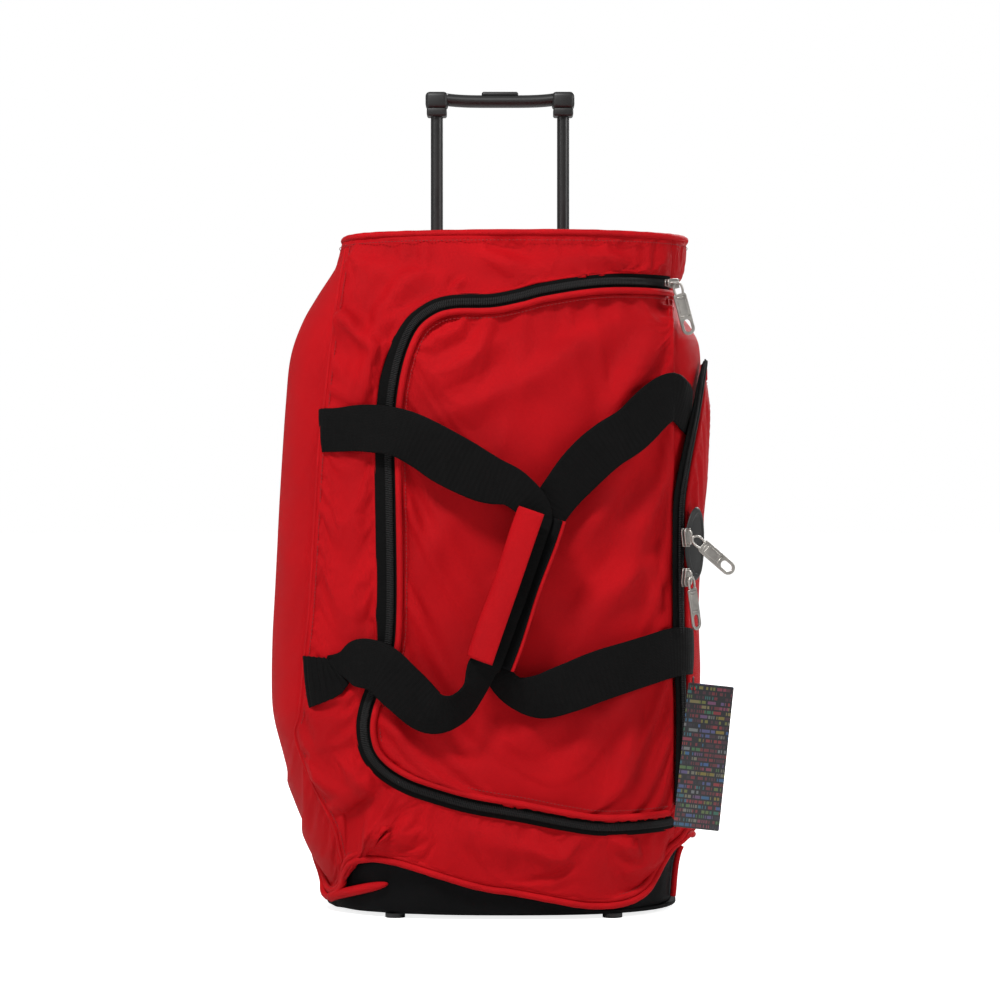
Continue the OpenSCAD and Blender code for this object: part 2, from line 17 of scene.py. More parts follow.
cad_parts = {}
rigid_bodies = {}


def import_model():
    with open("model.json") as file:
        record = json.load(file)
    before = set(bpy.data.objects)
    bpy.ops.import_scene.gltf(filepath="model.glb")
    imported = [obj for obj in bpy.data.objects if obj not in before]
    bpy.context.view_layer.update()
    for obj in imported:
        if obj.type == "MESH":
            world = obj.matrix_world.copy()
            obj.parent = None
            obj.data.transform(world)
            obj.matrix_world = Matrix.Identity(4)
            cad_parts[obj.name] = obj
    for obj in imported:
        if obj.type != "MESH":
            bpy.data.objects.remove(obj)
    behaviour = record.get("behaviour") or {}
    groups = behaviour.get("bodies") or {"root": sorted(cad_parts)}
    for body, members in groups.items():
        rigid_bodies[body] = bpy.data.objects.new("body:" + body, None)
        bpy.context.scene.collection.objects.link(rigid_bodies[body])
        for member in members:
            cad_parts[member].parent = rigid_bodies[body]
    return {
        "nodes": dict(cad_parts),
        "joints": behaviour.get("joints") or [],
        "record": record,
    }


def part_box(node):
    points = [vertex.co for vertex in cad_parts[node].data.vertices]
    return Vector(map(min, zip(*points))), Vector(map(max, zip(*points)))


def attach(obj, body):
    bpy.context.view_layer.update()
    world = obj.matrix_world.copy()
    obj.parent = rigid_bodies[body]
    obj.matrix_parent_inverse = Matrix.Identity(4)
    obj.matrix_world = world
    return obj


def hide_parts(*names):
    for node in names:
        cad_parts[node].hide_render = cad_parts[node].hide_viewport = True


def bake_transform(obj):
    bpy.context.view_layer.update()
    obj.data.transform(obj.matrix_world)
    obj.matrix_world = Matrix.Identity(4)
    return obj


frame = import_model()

LOG = logging.getLogger("duffel")
MM = 0.001
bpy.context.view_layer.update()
Array = np.ndarray


class Slot(Enum):
    """Finish slots of the part, and the stitches' thread."""

    RED = "fabric_red"
    BLACK = "fabric_black"
    THREAD = "thread"
    PIPING = "piping_red"
    WEBBING = "webbing"
    TAPE = "zip_tape"
    COIL = "zip_coil"
    BADGE = "badge"
    BOARD = "board"
    TUBE = "tube_black"
    HARD = "hard_black"
    STEEL = "steel"
    BUSH = "bush_white"
    HUB = "hub_grey"
    TYRE = "tyre"
    NICKEL = "nickel"
    CARD = "tag_card"


class Weave(Enum):
    """How a cloth is woven."""

    PLAIN = "plain"
    RIBBED = "ribbed"


# ---------------------------------------------------------------- finishes


class Nodes:
    """A material's node tree, with short calls to add and join nodes."""

    def __init__(self, name: str) -> None:
        """Starts an empty material.

        Args:
            name: the material's name.
        """
        self.material = bpy.data.materials.new(name)
        self.material.use_nodes = True
        self.tree = self.material.node_tree
        self.tree.nodes.clear()
        self.output = self.tree.nodes.new("ShaderNodeOutputMaterial")
        self.shader = self.tree.nodes.new("ShaderNodeBsdfPrincipled")
        self.tree.links.new(self.shader.outputs[0], self.output.inputs[0])

    def add(self, kind: str, **values: object) -> bpy.types.Node:
        """Adds a node and sets its properties and inputs.

        Args:
            kind: the node's type without its ShaderNode prefix.
            values: a property name, or an input name with spaces as underscores.

        Returns:
            The new node.
        """
        node = self.tree.nodes.new("ShaderNode" + kind)
        for key, value in values.items():
            if hasattr(node, key):
                setattr(node, key, value)
            else:
                node.inputs[key.replace("_", " ")].default_value = value
        return node

    def link(self, source: bpy.types.NodeSocket, target: bpy.types.NodeSocket) -> None:
        """Joins two sockets."""
        self.tree.links.new(source, target)

    def math(self, operation: str, a: object, b: object = 0.0) -> bpy.types.NodeSocket:
        """Adds a math node.

        Args:
            operation: the math node's operation.
            a: a number or a socket.
            b: a number or a socket.

        Returns:
            The result's socket.
        """
        node = self.tree.nodes.new("ShaderNodeMath")
        node.operation = operation
        for place, value in enumerate((a, b)):
            if isinstance(value, bpy.types.NodeSocket):
                self.link(value, node.inputs[place])
            else:
                node.inputs[place].default_value = value
        return node.outputs[0]

    def ramp(self, source: bpy.types.NodeSocket,
             stops: Sequence[tuple[float, tuple]]) -> bpy.types.NodeSocket:
        """Adds a colour ramp.

        Args:
            source: what drives it.
            stops: places and colours.

        Returns:
            The colour's socket.
        """
        node = self.tree.nodes.new("ShaderNodeValToRGB")
        ramp = node.color_ramp
        while len(ramp.elements) < len(stops):
            ramp.elements.new(0.5)
        for element, (place, colour) in zip(ramp.elements, stops):
            element.position = place
            element.color = (*colour[:3], 1.0)
        self.link(source, node.inputs[0])
        return node.outputs[0]

    def bump(self, height: bpy.types.NodeSocket, strength: float, distance: float,
             under: bpy.types.NodeSocket | None = None) -> bpy.types.NodeSocket:
        """Adds a bump node.

        Args:
            height: the height's socket.
            strength: how strong it is.
            distance: its depth in metres.
            under: another bump's normal, which this one adds to.

        Returns:
            The normal's socket.
        """
        node = self.add("Bump", Strength=strength, Distance=distance)
        self.link(height, node.inputs["Height"])
        if under is not None:
            self.link(under, node.inputs["Normal"])
        return node.outputs[0]


    def noise(self, place: bpy.types.NodeSocket, scale: float, detail: float,
              roughness: float = 0.5) -> bpy.types.NodeSocket:
        """Adds a noise texture.

        Args:
            place: the socket of its coordinates.
            scale: how fine it is.
            detail: how many layers it has.
            roughness: how strong its finer layers are.

        Returns:
            The noise's socket.
        """
        node = self.add("TexNoise", Scale=scale, Detail=detail, Roughness=roughness)
        self.link(place, node.inputs["Vector"])
        return node.outputs[0]

    def split(self, place: bpy.types.NodeSocket) -> Sequence[bpy.types.NodeSocket]:
        """Adds a node that splits coordinates, and gives its sockets."""
        node = self.add("SeparateXYZ")
        self.link(place, node.inputs[0])
        return node.outputs

    def finish(self, **values: object) -> None:
        """Sets the shader's inputs.

        Args:
            values: a number, a colour or a socket for each input, named with spaces as underscores.
        """
        for key, value in values.items():
            target = self.shader.inputs[key.replace("_", " ")]
            if isinstance(value, bpy.types.NodeSocket):
                self.link(value, target)
            else:
                target.default_value = value

    def uneven(self, source: bpy.types.NodeSocket, low: float, high: float) -> bpy.types.NodeSocket:
        """Spreads the usual range of a noise over a range of roughness.

        Args:
            source: the noise.
            low: the roughness where the noise is low.
            high: the roughness where it is high.

        Returns:
            The roughness.
        """
        node = self.add("MapRange", From_Min=0.3, From_Max=0.7, To_Min=low, To_Max=high)
        self.link(source, node.inputs[0])
        return node.outputs[0]


@dataclass(frozen=True)
class Cloth:
    """Woven cloth: its colours, thread pitch and weave."""

    name: str
    colour: tuple[float, float, float]
    shade: tuple[float, float, float]
    pitch: float = 0.0007
    weave: Weave = Weave.PLAIN
    roughness: float = 0.62
    mottle: float = 9.0
    depth: float = 0.00016

    def make(self) -> bpy.types.Material:
        """Builds the material on the piece's own UV map, in metres."""
        n = Nodes(self.name)
        uv = n.add("UVMap", uv_map="metres").outputs[0]
        u, v = n.split(uv)[:2]
        turns = 2 * math.pi / self.pitch
        weft = n.math("SINE", n.math("MULTIPLY", v, turns))
        if self.weave is Weave.PLAIN:
            thread = n.math("MULTIPLY", n.math("SINE", n.math("MULTIPLY", u, turns)), weft)
        else:
            wide = n.math("SINE", n.math("MULTIPLY", u, turns * 0.5))
            ribs = n.math("MULTIPLY", n.math("ABSOLUTE", weft), 0.7)
            thread = n.math("ADD", ribs, n.math("MULTIPLY", wide, 0.3))
        cloudy = n.noise(uv, self.mottle, 4.0, 0.6)
        fine = n.noise(uv, 1.0 / self.pitch / 3.0, 2.0)
        mixed = n.math("ADD", n.math("MULTIPLY", cloudy, 0.75), n.math("MULTIPLY", fine, 0.25))
        n.finish(Base_Color=n.ramp(mixed, [(0.3, self.shade), (0.62, self.colour)]),
                 Roughness=n.uneven(cloudy, self.roughness - 0.07, self.roughness + 0.07),
                 Normal=n.bump(thread, 0.55, self.depth, n.bump(cloudy, 0.25, 0.002)),
                 Specular_IOR_Level=0.07)
        return n.material


@dataclass(frozen=True)
class Moulded:
    """Moulded plastic, rubber or a painted tube."""

    name: str
    colour: tuple[float, float, float]
    worn: tuple[float, float, float]
    roughness: float = 0.5
    grain: float = 900.0
    depth: float = 0.0001

    def make(self) -> bpy.types.Material:
        """Builds the material on object coordinates."""
        n = Nodes(self.name)
        place = n.add("TexCoord").outputs["Object"]
        grain = n.noise(place, self.grain, 3.0)
        patches = n.noise(place, 22.0, 5.0, 0.65)
        n.finish(Base_Color=n.ramp(patches, [(0.35, self.colour), (0.75, self.worn)]),
                 Roughness=n.uneven(patches, self.roughness - 0.06, self.roughness + 0.1),
                 Normal=n.bump(grain, 0.4, self.depth))
        return n.material


@dataclass(frozen=True)
class Plated:
    """Cast or turned metal with plating and fine handling marks."""

    name: str
    colour: tuple[float, float, float]
    dull: tuple[float, float, float]
    roughness: float = 0.28

    def make(self) -> bpy.types.Material:
        """Builds the material on object coordinates."""
        n = Nodes(self.name)
        place = n.add("TexCoord").outputs["Object"]
        marks = n.noise(place, 90.0, 4.0, 0.6)
        cast = n.noise(place, 900.0, 2.0)
        n.finish(Base_Color=n.ramp(marks, [(0.35, self.dull), (0.6, self.colour)]),
                 Roughness=n.uneven(marks, self.roughness - 0.05, self.roughness + 0.1),
                 Normal=n.bump(cast, 0.15, 0.00004), Metallic=1.0)
        return n.material


@dataclass(frozen=True)
class PrintedCard:
    """Laminated card printed with rows of small coloured dashes."""

    name: str
    rows_per_metre: float = 235.0
    words_per_metre: float = 125.0
    strokes_per_metre: float = 1100.0
    row_shift: float = 0.37
    ground: tuple[float, float, float, float] = (0.005, 0.005, 0.007, 1.0)

    def cell(self, n: Nodes, across: bpy.types.NodeSocket, up: bpy.types.NodeSocket) -> bpy.types.NodeSocket:
        """A random value for each cell of a grid, from its column and row."""
        place = n.add("CombineXYZ")
        n.link(n.math("FLOOR", across), place.inputs[0])
        n.link(up, place.inputs[1])
        chance = n.add("TexWhiteNoise")
        n.link(place.outputs[0], chance.inputs["Vector"])
        return chance.outputs["Value"]

    def make(self) -> bpy.types.Material:
        """Builds the material on the card's UV map, in metres from its bottom left corner."""
        n = Nodes(self.name)
        uv = n.add("UVMap", uv_map="metres").outputs[0]
        u, v = n.split(uv)[:2]
        height = n.math("MULTIPLY", v, self.rows_per_metre)
        row = n.math("FLOOR", height)
        shift = n.math("MULTIPLY", row, self.row_shift)
        word = self.cell(n, n.math("ADD", n.math("MULTIPLY", u, self.words_per_metre), shift), row)
        hue = n.ramp(word,
                     [(0.0, (0.01, 0.011, 0.018)), (0.4, (0.15, 0.014, 0.018)), (0.58, (0.018, 0.06, 0.15)),
                            (0.72, (0.018, 0.085, 0.035)), (0.86, (0.12, 0.09, 0.015)),
                      (1.0, (0.09, 0.1, 0.11))])
        stroke = self.cell(n, n.math("MULTIPLY", u, self.strokes_per_metre), row)
        band = n.math("GREATER_THAN", n.math("FRACT", height), 0.36)
        mix = n.add("MixRGB")
        n.link(n.math("MULTIPLY", n.math("GREATER_THAN", stroke, 0.38), band), mix.inputs[0])
        mix.inputs[1].default_value = self.ground
        n.link(hue, mix.inputs[2])
        n.finish(Base_Color=mix.outputs[0], Roughness=0.3, Coat_Weight=0.3,
                 Normal=n.bump(n.noise(uv, 40.0, 2.0), 0.15, 0.0006))
        return n.material


class Finishes:
    """Every finish of the bag, made once and looked up by slot."""

    def __init__(self) -> None:
        """Makes the materials."""
        ribbed = Weave.RIBBED
        black, grey = (0.002, 0.002, 0.002), (0.004, 0.004, 0.004)
        specs = {
            Slot.RED: Cloth("red_polyester", (0.43, 0.0032, 0.0065), (0.33, 0.002, 0.005)),
            Slot.PIPING: Cloth("red_binding", (0.45, 0.0045, 0.008), (0.34, 0.003, 0.006), 0.0009,
                               mottle=30.0),
            Slot.THREAD: Moulded("red_thread", (0.2, 0.0015, 0.003), (0.26, 0.002, 0.004), 0.7),
            Slot.BLACK: Cloth("black_polyester", (0.004, 0.004, 0.0045), black),
            Slot.WEBBING: Cloth("black_webbing", (0.0042, 0.004, 0.004), black, 0.0024, ribbed, 0.75, 25.0,
                                0.0006),
            Slot.TAPE: Cloth("black_zip_tape", grey, black, 0.0012, ribbed, 0.8, 30.0, 0.0003),
            Slot.COIL: Moulded("black_coil", black, grey, 0.75),
            Slot.BADGE: Moulded("rubber_badge", (0.005, 0.005, 0.005), (0.009, 0.009, 0.009), 0.55),
            Slot.BOARD: Moulded("sheet_plastic", (0.08, 0.08, 0.08), (0.12, 0.12, 0.12), 0.6),
            Slot.TUBE: Moulded("black_tube", grey, (0.007, 0.007, 0.007), 0.4, 600.0, 0.00003),
            Slot.HARD: Moulded("black_moulding", grey, (0.008, 0.008, 0.008), 0.5, 1400.0, 0.00014),
            Slot.STEEL: Plated("plated_steel", (0.62, 0.62, 0.62), (0.45, 0.45, 0.46), 0.3),
            Slot.BUSH: Moulded("white_bush", (0.75, 0.75, 0.72), (0.65, 0.65, 0.6), 0.45),
            Slot.HUB: Moulded("grey_hub", (0.04, 0.04, 0.042), (0.07, 0.07, 0.07), 0.5),
            Slot.TYRE: Moulded("tyre_rubber", (0.014, 0.014, 0.014), (0.03, 0.03, 0.029), 0.78, 500.0,
                               0.0003),
            Slot.NICKEL: Plated("nickel_plate", (0.42, 0.4, 0.37), (0.34, 0.32, 0.3), 0.34),
            Slot.CARD: PrintedCard("printed_card"),
        }
        self.made = {slot: spec.make() for slot, spec in specs.items()}

    def dress(self, piece: bpy.types.Object, slot: Slot) -> bpy.types.Object:
        """Gives a piece the finish of a slot.

        Args:
            piece: the piece.
            slot: the finish's slot.

        Returns:
            The same piece.
        """
        piece.data.materials.clear()
        piece.data.materials.append(self.made[slot])
        return piece

    def fit(self, piece: bpy.types.Object, slot: Slot, body: str, *nodes: str) -> bpy.types.Object:
        """Gives a piece its finish, its body and the parts that it stands for.

        Args:
            piece: the piece.
            slot: the finish's slot.
            body: the body that it rides on.
            nodes: the parts, if any.

        Returns:
            The same piece.
        """
        self.dress(piece, slot)
        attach(piece, body)
        if nodes:
            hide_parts(*nodes)
        LOG.info("made %s", piece.name)
        return piece

    def dress_cad(self) -> None:
        """Gives every carried-over part its finish."""
        for part in frame["record"]["subparts"]:
            mesh = frame["nodes"][part["node"]].data
            mesh.materials.clear()
            mesh.materials.append(self.made[Slot(part["material_slot"])])


# ---------------------------------------------------------------- curves and surfaces


def smooth_line(points: Sequence[Sequence[float]], steps: int) -> Array:
    """A smooth curve through points.

    Args:
        points: the points, of any number of values each.
        steps: how many steps to make between two points.

    Returns:
        The curve's points, one row each.
    """
    p = np.array(points, float)
    padded = np.vstack([p[0], p, p[-1]])
    t = np.linspace(0, 1, steps, endpoint=False)[:, None]
    rows = []
    for i in range(len(p) - 1):
        a, b, c, d = padded[i:i + 4]
        square = t**2 * (2 * a - 5 * b + 4 * c - d) / 2
        cube = t**3 * (3 * (b - c) + d - a) / 2
        rows.append(b + t * (c - a) / 2 + square + cube)
    return np.vstack(rows + [p[-1:]])


def even_line(line: Array, count: int) -> Array:
    """The same curve with points spaced evenly along it.

    Args:
        line: the curve.
        count: how many points to give.

    Returns:
        The new points.
    """
    gaps = np.linalg.norm(np.diff(line[:, :3], axis=0), axis=1)
    s = np.concatenate([[0], np.cumsum(gaps)])
    want = np.linspace(0, s[-1], count)
    return np.column_stack([np.interp(want, s, line[:, k]) for k in range(line.shape[1])])


def unit_rows(v: Array) -> Array:
    """Each row made one unit long."""
    return v / np.maximum(np.linalg.norm(v, axis=-1, keepdims=True), 1e-12)


def tangents(line: Array) -> Array:
    """Unit direction at each point of a curve."""
    return unit_rows(np.gradient(line, axis=0))


def inward(line: Array) -> Array:
    """Unit vectors at right angles to a flat x-z curve, towards its inner side."""
    t = tangents(line[:, :2])
    return np.column_stack([-t[:, 1], t[:, 0]])


def table(pairs: Sequence[Sequence[float]]) -> Callable[[Array], Array]:
    """A smooth function through pairs of height and value, both in millimetres.

    Args:
        pairs: the pairs, with rising heights.

    Returns:
        The function, in metres.
    """
    curve = smooth_line(pairs, 8) * MM
    return lambda z: np.interp(z, curve[:, 0], curve[:, 1])


@dataclass(frozen=True)
class Crease:
    """A fold in the cloth, between two places on the front."""

    x0: float
    z0: float
    x1: float
    z1: float
    width: float
    height: float
    bow: float = 0.0
    strength: float = 1.25

    def lift(self, x: Array, z: Array) -> Array:
        """How far the fold stands out at each place, in metres.

        Args:
            x: places across.
            z: places up.

        Returns:
            The lift at each place.
        """
        a = np.array([self.x0, self.z0]) * MM
        b = np.array([self.x1, self.z1]) * MM
        along = b - a
        length = np.linalg.norm(along)
        along = along / length
        across = np.array([-along[1], along[0]])
        u = ((x - a[0]) * along[0] + (z - a[1]) * along[1]) / length
        v = (x - a[0]) * across[0] + (z - a[1]) * across[1] - self.bow * MM * np.sin(np.pi * np.clip(u, 0, 1))
        w = self.width * MM
        ridge = np.exp(-(v / w) ** 2) - 0.55 * np.exp(-((v - 1.7 * w) / (1.1 * w)) ** 2)
        fade = np.clip(1 - np.abs(u - 0.5) * 2, 0, 1)
        return self.strength * self.height * MM * ridge * fade ** 0.7


@dataclass
class BagForm:
    """The shape of the stuffed bag, as smooth outlines and a rounded section."""

    left: Sequence = ((0, -163), (14, -165), (30, -165), (66, -181), (108, -194), (147, -205), (175, -212),
                      (200, -214),
                      (247, -213), (300, -210), (378, -206), (468, -201), (512, -197), (543, -187),
                      (567, -174),
                      (598, -155), (620, -147))
    right: Sequence = ((0, 158), (12, 163), (44, 166), (60, 171), (72, 180), (110, 182), (202, 181),
                       (350, 181),
                       (448, 187), (515, 189), (538, 182), (556, 169), (575, 160), (591, 170), (606, 174),
                       (620, 174))
    share: Sequence = ((0, 840), (60, 910), (150, 980), (240, 1000), (450, 1000), (540, 930), (600, 800),
                       (620, 750))
    front: float = 0.140
    back: float = 0.140
    middle_y: float = 0.015
    front_n: float = 2.6
    back_n: float = 5.5
    creases: tuple[Crease, ...] = ()

    def __post_init__(self) -> None:
        """Makes the outline functions."""
        self.edge_l = table(self.left)
        self.edge_r = table(self.right)
        self.depth_share = table(self.share)

    def middle(self, z: Array) -> Array:
        """The section's middle x at each height."""
        return (self.edge_l(z) + self.edge_r(z)) / 2

    def half(self, z: Array) -> Array:
        """Half the section's width at each height."""
        return (self.edge_r(z) - self.edge_l(z)) / 2

    def depth(self, z: Array) -> Array:
        """How far the front stands before the section's middle at each height."""
        return self.front * self.depth_share(z)

    def skin(self, angle: Array, z: Array, out: Array | float = 0.0) -> Array:
        """Points on the bag by section angle and height.

        Args:
            angle: degrees, 0 at the right side and 90 at the front.
            z: heights.
            out: distance outside the skin.

        Returns:
            Points, in the last axis.
        """
        a = np.radians(angle)
        front = np.sin(a) > 0
        power = np.where(front, 2 / self.front_n, 2 / self.back_n)
        deep = np.where(front, self.depth(z), self.back)
        x = self.middle(z) + (self.half(z) + out) * np.sign(np.cos(a)) * np.abs(np.cos(a)) ** power
        y = self.middle_y - (deep + out) * np.sign(np.sin(a)) * np.abs(np.sin(a)) ** power
        return np.stack([x, y, np.broadcast_to(z, x.shape)], -1)

    def share_of(self, x: Array, z: Array, out: Array | float = 0.0) -> Array:
        """Where x lies between the section's middle and its edge, from -1 to 1."""
        return np.clip((x - self.middle(z)) / (self.half(z) + out), -0.9995, 0.9995)

    def angle_of(self, x: Array, z: Array, out: float = 0.0) -> Array:
        """Section angle of a place on the front."""
        s = self.share_of(x, z, out)
        return np.degrees(np.arccos(np.sign(s) * np.abs(s) ** (self.front_n / 2)))

    def on_front(self, x: Array, z: Array, out: Array | float = 0.0) -> Array:
        """Points on the front face.

        Args:
            x: places across.
            z: places up.
            out: distance outside the skin.

        Returns:
            Points, in the last axis.
        """
        s = self.share_of(x, z, out)
        y = self.middle_y - (self.depth(z) + out) * (1 - np.abs(s) ** self.front_n) ** (1 / self.front_n)
        return np.stack([x, y, z], -1)

    def folds(self, x: Array, z: Array) -> Array:
        """The lift of all the creases at each place."""
        total = np.zeros_like(x)
        for crease in self.creases:
            total = total + crease.lift(x, z)
        return total


# ---------------------------------------------------------------- meshes


def grid_normals(p: Array) -> Array:
    """Unit normals of a grid of points, from its two directions."""
    return unit_rows(np.cross(np.gradient(p, axis=0), np.gradient(p, axis=1)))


def new_mesh(name: str, points: Array, faces: Sequence[Sequence[int]], uv: Array | None = None,
             smooth: bool = True) -> bpy.types.Object:
    """A mesh object from points and faces.

    Args:
        name: the object's name.
        points: one row each.
        faces: point numbers of each face.
        uv: a place on the cloth for each point, in metres.
        smooth: whether its faces are shaded smooth.

    Returns:
        The new object.
    """
    mesh = bpy.data.meshes.new(name)
    mesh.from_pydata(np.asarray(points, float).reshape(-1, 3).tolist(), [], [list(f) for f in faces])
    layer = mesh.uv_layers.new(name="metres")
    if uv is not None:
        index = np.zeros(len(mesh.loops), np.int32)
        mesh.loops.foreach_get("vertex_index", index)
        layer.data.foreach_set("uv", np.asarray(uv, np.float32).reshape(-1, 2)[index].ravel())
    mesh.polygons.foreach_set("use_smooth", [smooth] * len(mesh.polygons))
    mesh.update()
    piece = bpy.data.objects.new(name, mesh)
    bpy.context.scene.collection.objects.link(piece)
    return piece


def grid_lengths(p: Array) -> Array:
    """A place on the flat cloth for each grid point, in metres.

    Args:
        p: grid of points.

    Returns:
        Distances along both directions.
    """
    du = np.linalg.norm(np.diff(p, axis=0), axis=-1).mean(1)
    dv = np.linalg.norm(np.diff(p, axis=1), axis=-1).mean(0)
    u = np.concatenate([[0], np.cumsum(du)])
    v = np.concatenate([[0], np.cumsum(dv)])
    return np.stack(np.meshgrid(u, v, indexing="ij"), -1)


def open_faces(n: int, m: int) -> list[list[int]]:
    """Faces of one side of an n by m grid."""
    return [[i * m + j, (i + 1) * m + j, (i + 1) * m + j + 1,
             i * m + j + 1] for i in range(n - 1) for j in range(m - 1)]


def sheet(name: str, p: Array, thickness: float, edge: float = 0.0) -> bpy.types.Object:
    """A closed sheet with its outer face on a grid of points.

    Args:
        name: the object's name.
        p: grid of points, whose two directions cross outwards.
        thickness: how thick it is.
        edge: how far its rim is rolled in.

    Returns:
        The new object.
    """
    n, m = p.shape[:2]
    normal = grid_normals(p)
    outer = p.copy()
    if edge:
        rim = np.zeros((n, m), bool)
        rim[0], rim[-1], rim[:, 0], rim[:, -1] = True, True, True, True
        outer[rim] -= normal[rim] * edge
    inner = p - normal * thickness
    count = n * m
    faces = open_faces(n, m)
    faces += [[count + a for a in reversed(f)] for f in open_faces(n, m)]
    rim_line = [i * m for i in range(n)] + [(n - 1) * m + j for j in range(1, m)]
    rim_line += [i * m + m - 1 for i in range(n - 2, -1, -1)] + list(range(m - 2, 0, -1))
    for a, b in zip(rim_line, rim_line[1:] + rim_line[:1]):
        faces.append([b, a, count + a, count + b])
    uv = grid_lengths(p)
    return new_mesh(name, np.concatenate([outer.reshape(-1, 3), inner.reshape(-1, 3)]), faces,
                    np.concatenate([uv.reshape(-1, 2)] * 2))


def tube(name: str, line: Array, radius: float | Array, sides: int = 12,
         ref: Sequence[float] = (0, 1, 0)) -> bpy.types.Object:
    """A round cord along a line.

    Args:
        name: the object's name.
        line: its middle.
        radius: its radius, or one for each point.
        sides: how many sides its section has.
        ref: a direction that the line never follows.

    Returns:
        The new object.
    """
    n = len(line)
    t = tangents(line)
    b = unit_rows(np.cross(np.array(ref, float), t))
    c = np.cross(t, b)
    a = np.linspace(0, 2 * np.pi, sides, endpoint=False)
    r = np.broadcast_to(np.asarray(radius, float), (n,))[:, None, None]
    ring = line[:,
                None] + r * (np.cos(a)[None, :, None] * b[:, None] + np.sin(a)[None, :, None] * c[:, None])
    faces = []
    for i in range(n - 1):
        for j in range(sides):
            q = (j + 1) % sides
            faces.append([i * sides + j, i * sides + q, (i + 1) * sides + q, (i + 1) * sides + j])
    faces.append(list(range(sides - 1, -1, -1)))
    faces.append([(n - 1) * sides + j for j in range(sides)])
    length = np.concatenate([[0], np.cumsum(np.linalg.norm(np.diff(line, axis=0), axis=1))])
    size = float(np.mean(radius))
    uv = np.stack(np.meshgrid(length, a * size, indexing="ij"), -1)
    return new_mesh(name, ring.reshape(-1, 3), faces, uv)


def join(name: str, pieces: Sequence[bpy.types.Object]) -> bpy.types.Object:
    """Several pieces made into one mesh.

    Args:
        name: the new object's name.
        pieces: the pieces, which are used up.

    Returns:
        The joined object.
    """
    with bpy.context.temp_override(active_object=pieces[0], selected_editable_objects=list(pieces),
                                   object=pieces[0], selected_objects=list(pieces)):
        bpy.ops.object.join()
    pieces[0].name = name
    pieces[0].data.name = name
    return pieces[0]


def settle(piece: bpy.types.Object) -> bpy.types.Object:
    """Applies a piece's modifiers and place to its mesh, and leaves it at the origin.

    Args:
        piece: the piece.

    Returns:
        The same piece.
    """
    bpy.context.view_layer.update()
    graph = bpy.context.evaluated_depsgraph_get()
    mesh = bpy.data.meshes.new_from_object(piece.evaluated_get(graph), depsgraph=graph)
    mesh.transform(piece.matrix_world)
    if piece.type != "MESH":
        name = piece.name
        bpy.data.objects.remove(piece)
        piece = bpy.data.objects.new(name, mesh)
        bpy.context.scene.collection.objects.link(piece)
    else:
        piece.modifiers.clear()
        piece.data = mesh
    piece.matrix_world = Matrix.Identity(4)
    return piece


def round_edges(piece: bpy.types.Object, width: float, segments: int = 2) -> bpy.types.Object:
    """Rounds a piece's sharp edges.

    Args:
        piece: the piece.
        width: how wide the rounding is.
        segments: how many steps it has.

    Returns:
        The piece with the rounding applied.
    """
    bevel = piece.modifiers.new("rounding", "BEVEL")
    bevel.width = width
    bevel.segments = segments
    bevel.limit_method = "ANGLE"
    bevel.angle_limit = math.radians(35)
    done = settle(piece)
    done.data.polygons.foreach_set("use_smooth", [True] * len(done.data.polygons))
    return done


def flat_shape(name: str, outlines: Sequence[Array], thickness: float, rounding: float,
               place: Matrix) -> bpy.types.Object:
    """A flat plate cut to outlines, with rounded edges.

    Args:
        name: the object's name.
        outlines: the outer outline, then any holes, as x-y points.
        thickness: how thick the plate is.
        rounding: how much its edges are rounded.
        place: where it goes.

    Returns:
        The plate as a mesh.
    """
    curve = bpy.data.curves.new(name, "CURVE")
    curve.dimensions = "2D"
    curve.fill_mode = "BOTH"
    curve.extrude = thickness / 2 - rounding
    curve.bevel_depth = rounding
    curve.bevel_resolution = 2
    curve.offset = -rounding
    for outline in outlines:
        spline = curve.splines.new("POLY")
        spline.points.add(len(outline) - 1)
        flat = np.column_stack([outline, np.zeros(len(outline)), np.ones(len(outline))])
        spline.points.foreach_set("co", flat.astype(np.float32).ravel())
        spline.use_cyclic_u = True
    piece = bpy.data.objects.new(name, curve)
    bpy.context.scene.collection.objects.link(piece)
    piece = settle(piece)
    piece.data.transform(place)
    clean = bmesh.new()
    clean.from_mesh(piece.data)
    bmesh.ops.remove_doubles(clean, verts=clean.verts, dist=1e-6)
    bmesh.ops.recalc_face_normals(clean, faces=clean.faces)
    clean.to_mesh(piece.data)
    clean.free()
    return piece


def circle(radius: float, centre: tuple[float, float] = (0.0, 0.0), steps: int = 28, start: float = 0.0,
           end: float = 360.0) -> Array:
    """Points on a circle or an arc of it, in degrees."""
    full = abs(end - start) >= 360
    a = np.radians(np.linspace(start, end, steps, endpoint=not full))
    return np.column_stack([centre[0] + radius * np.cos(a), centre[1] + radius * np.sin(a)])


# ---------------------------------------------------------------- repeated details


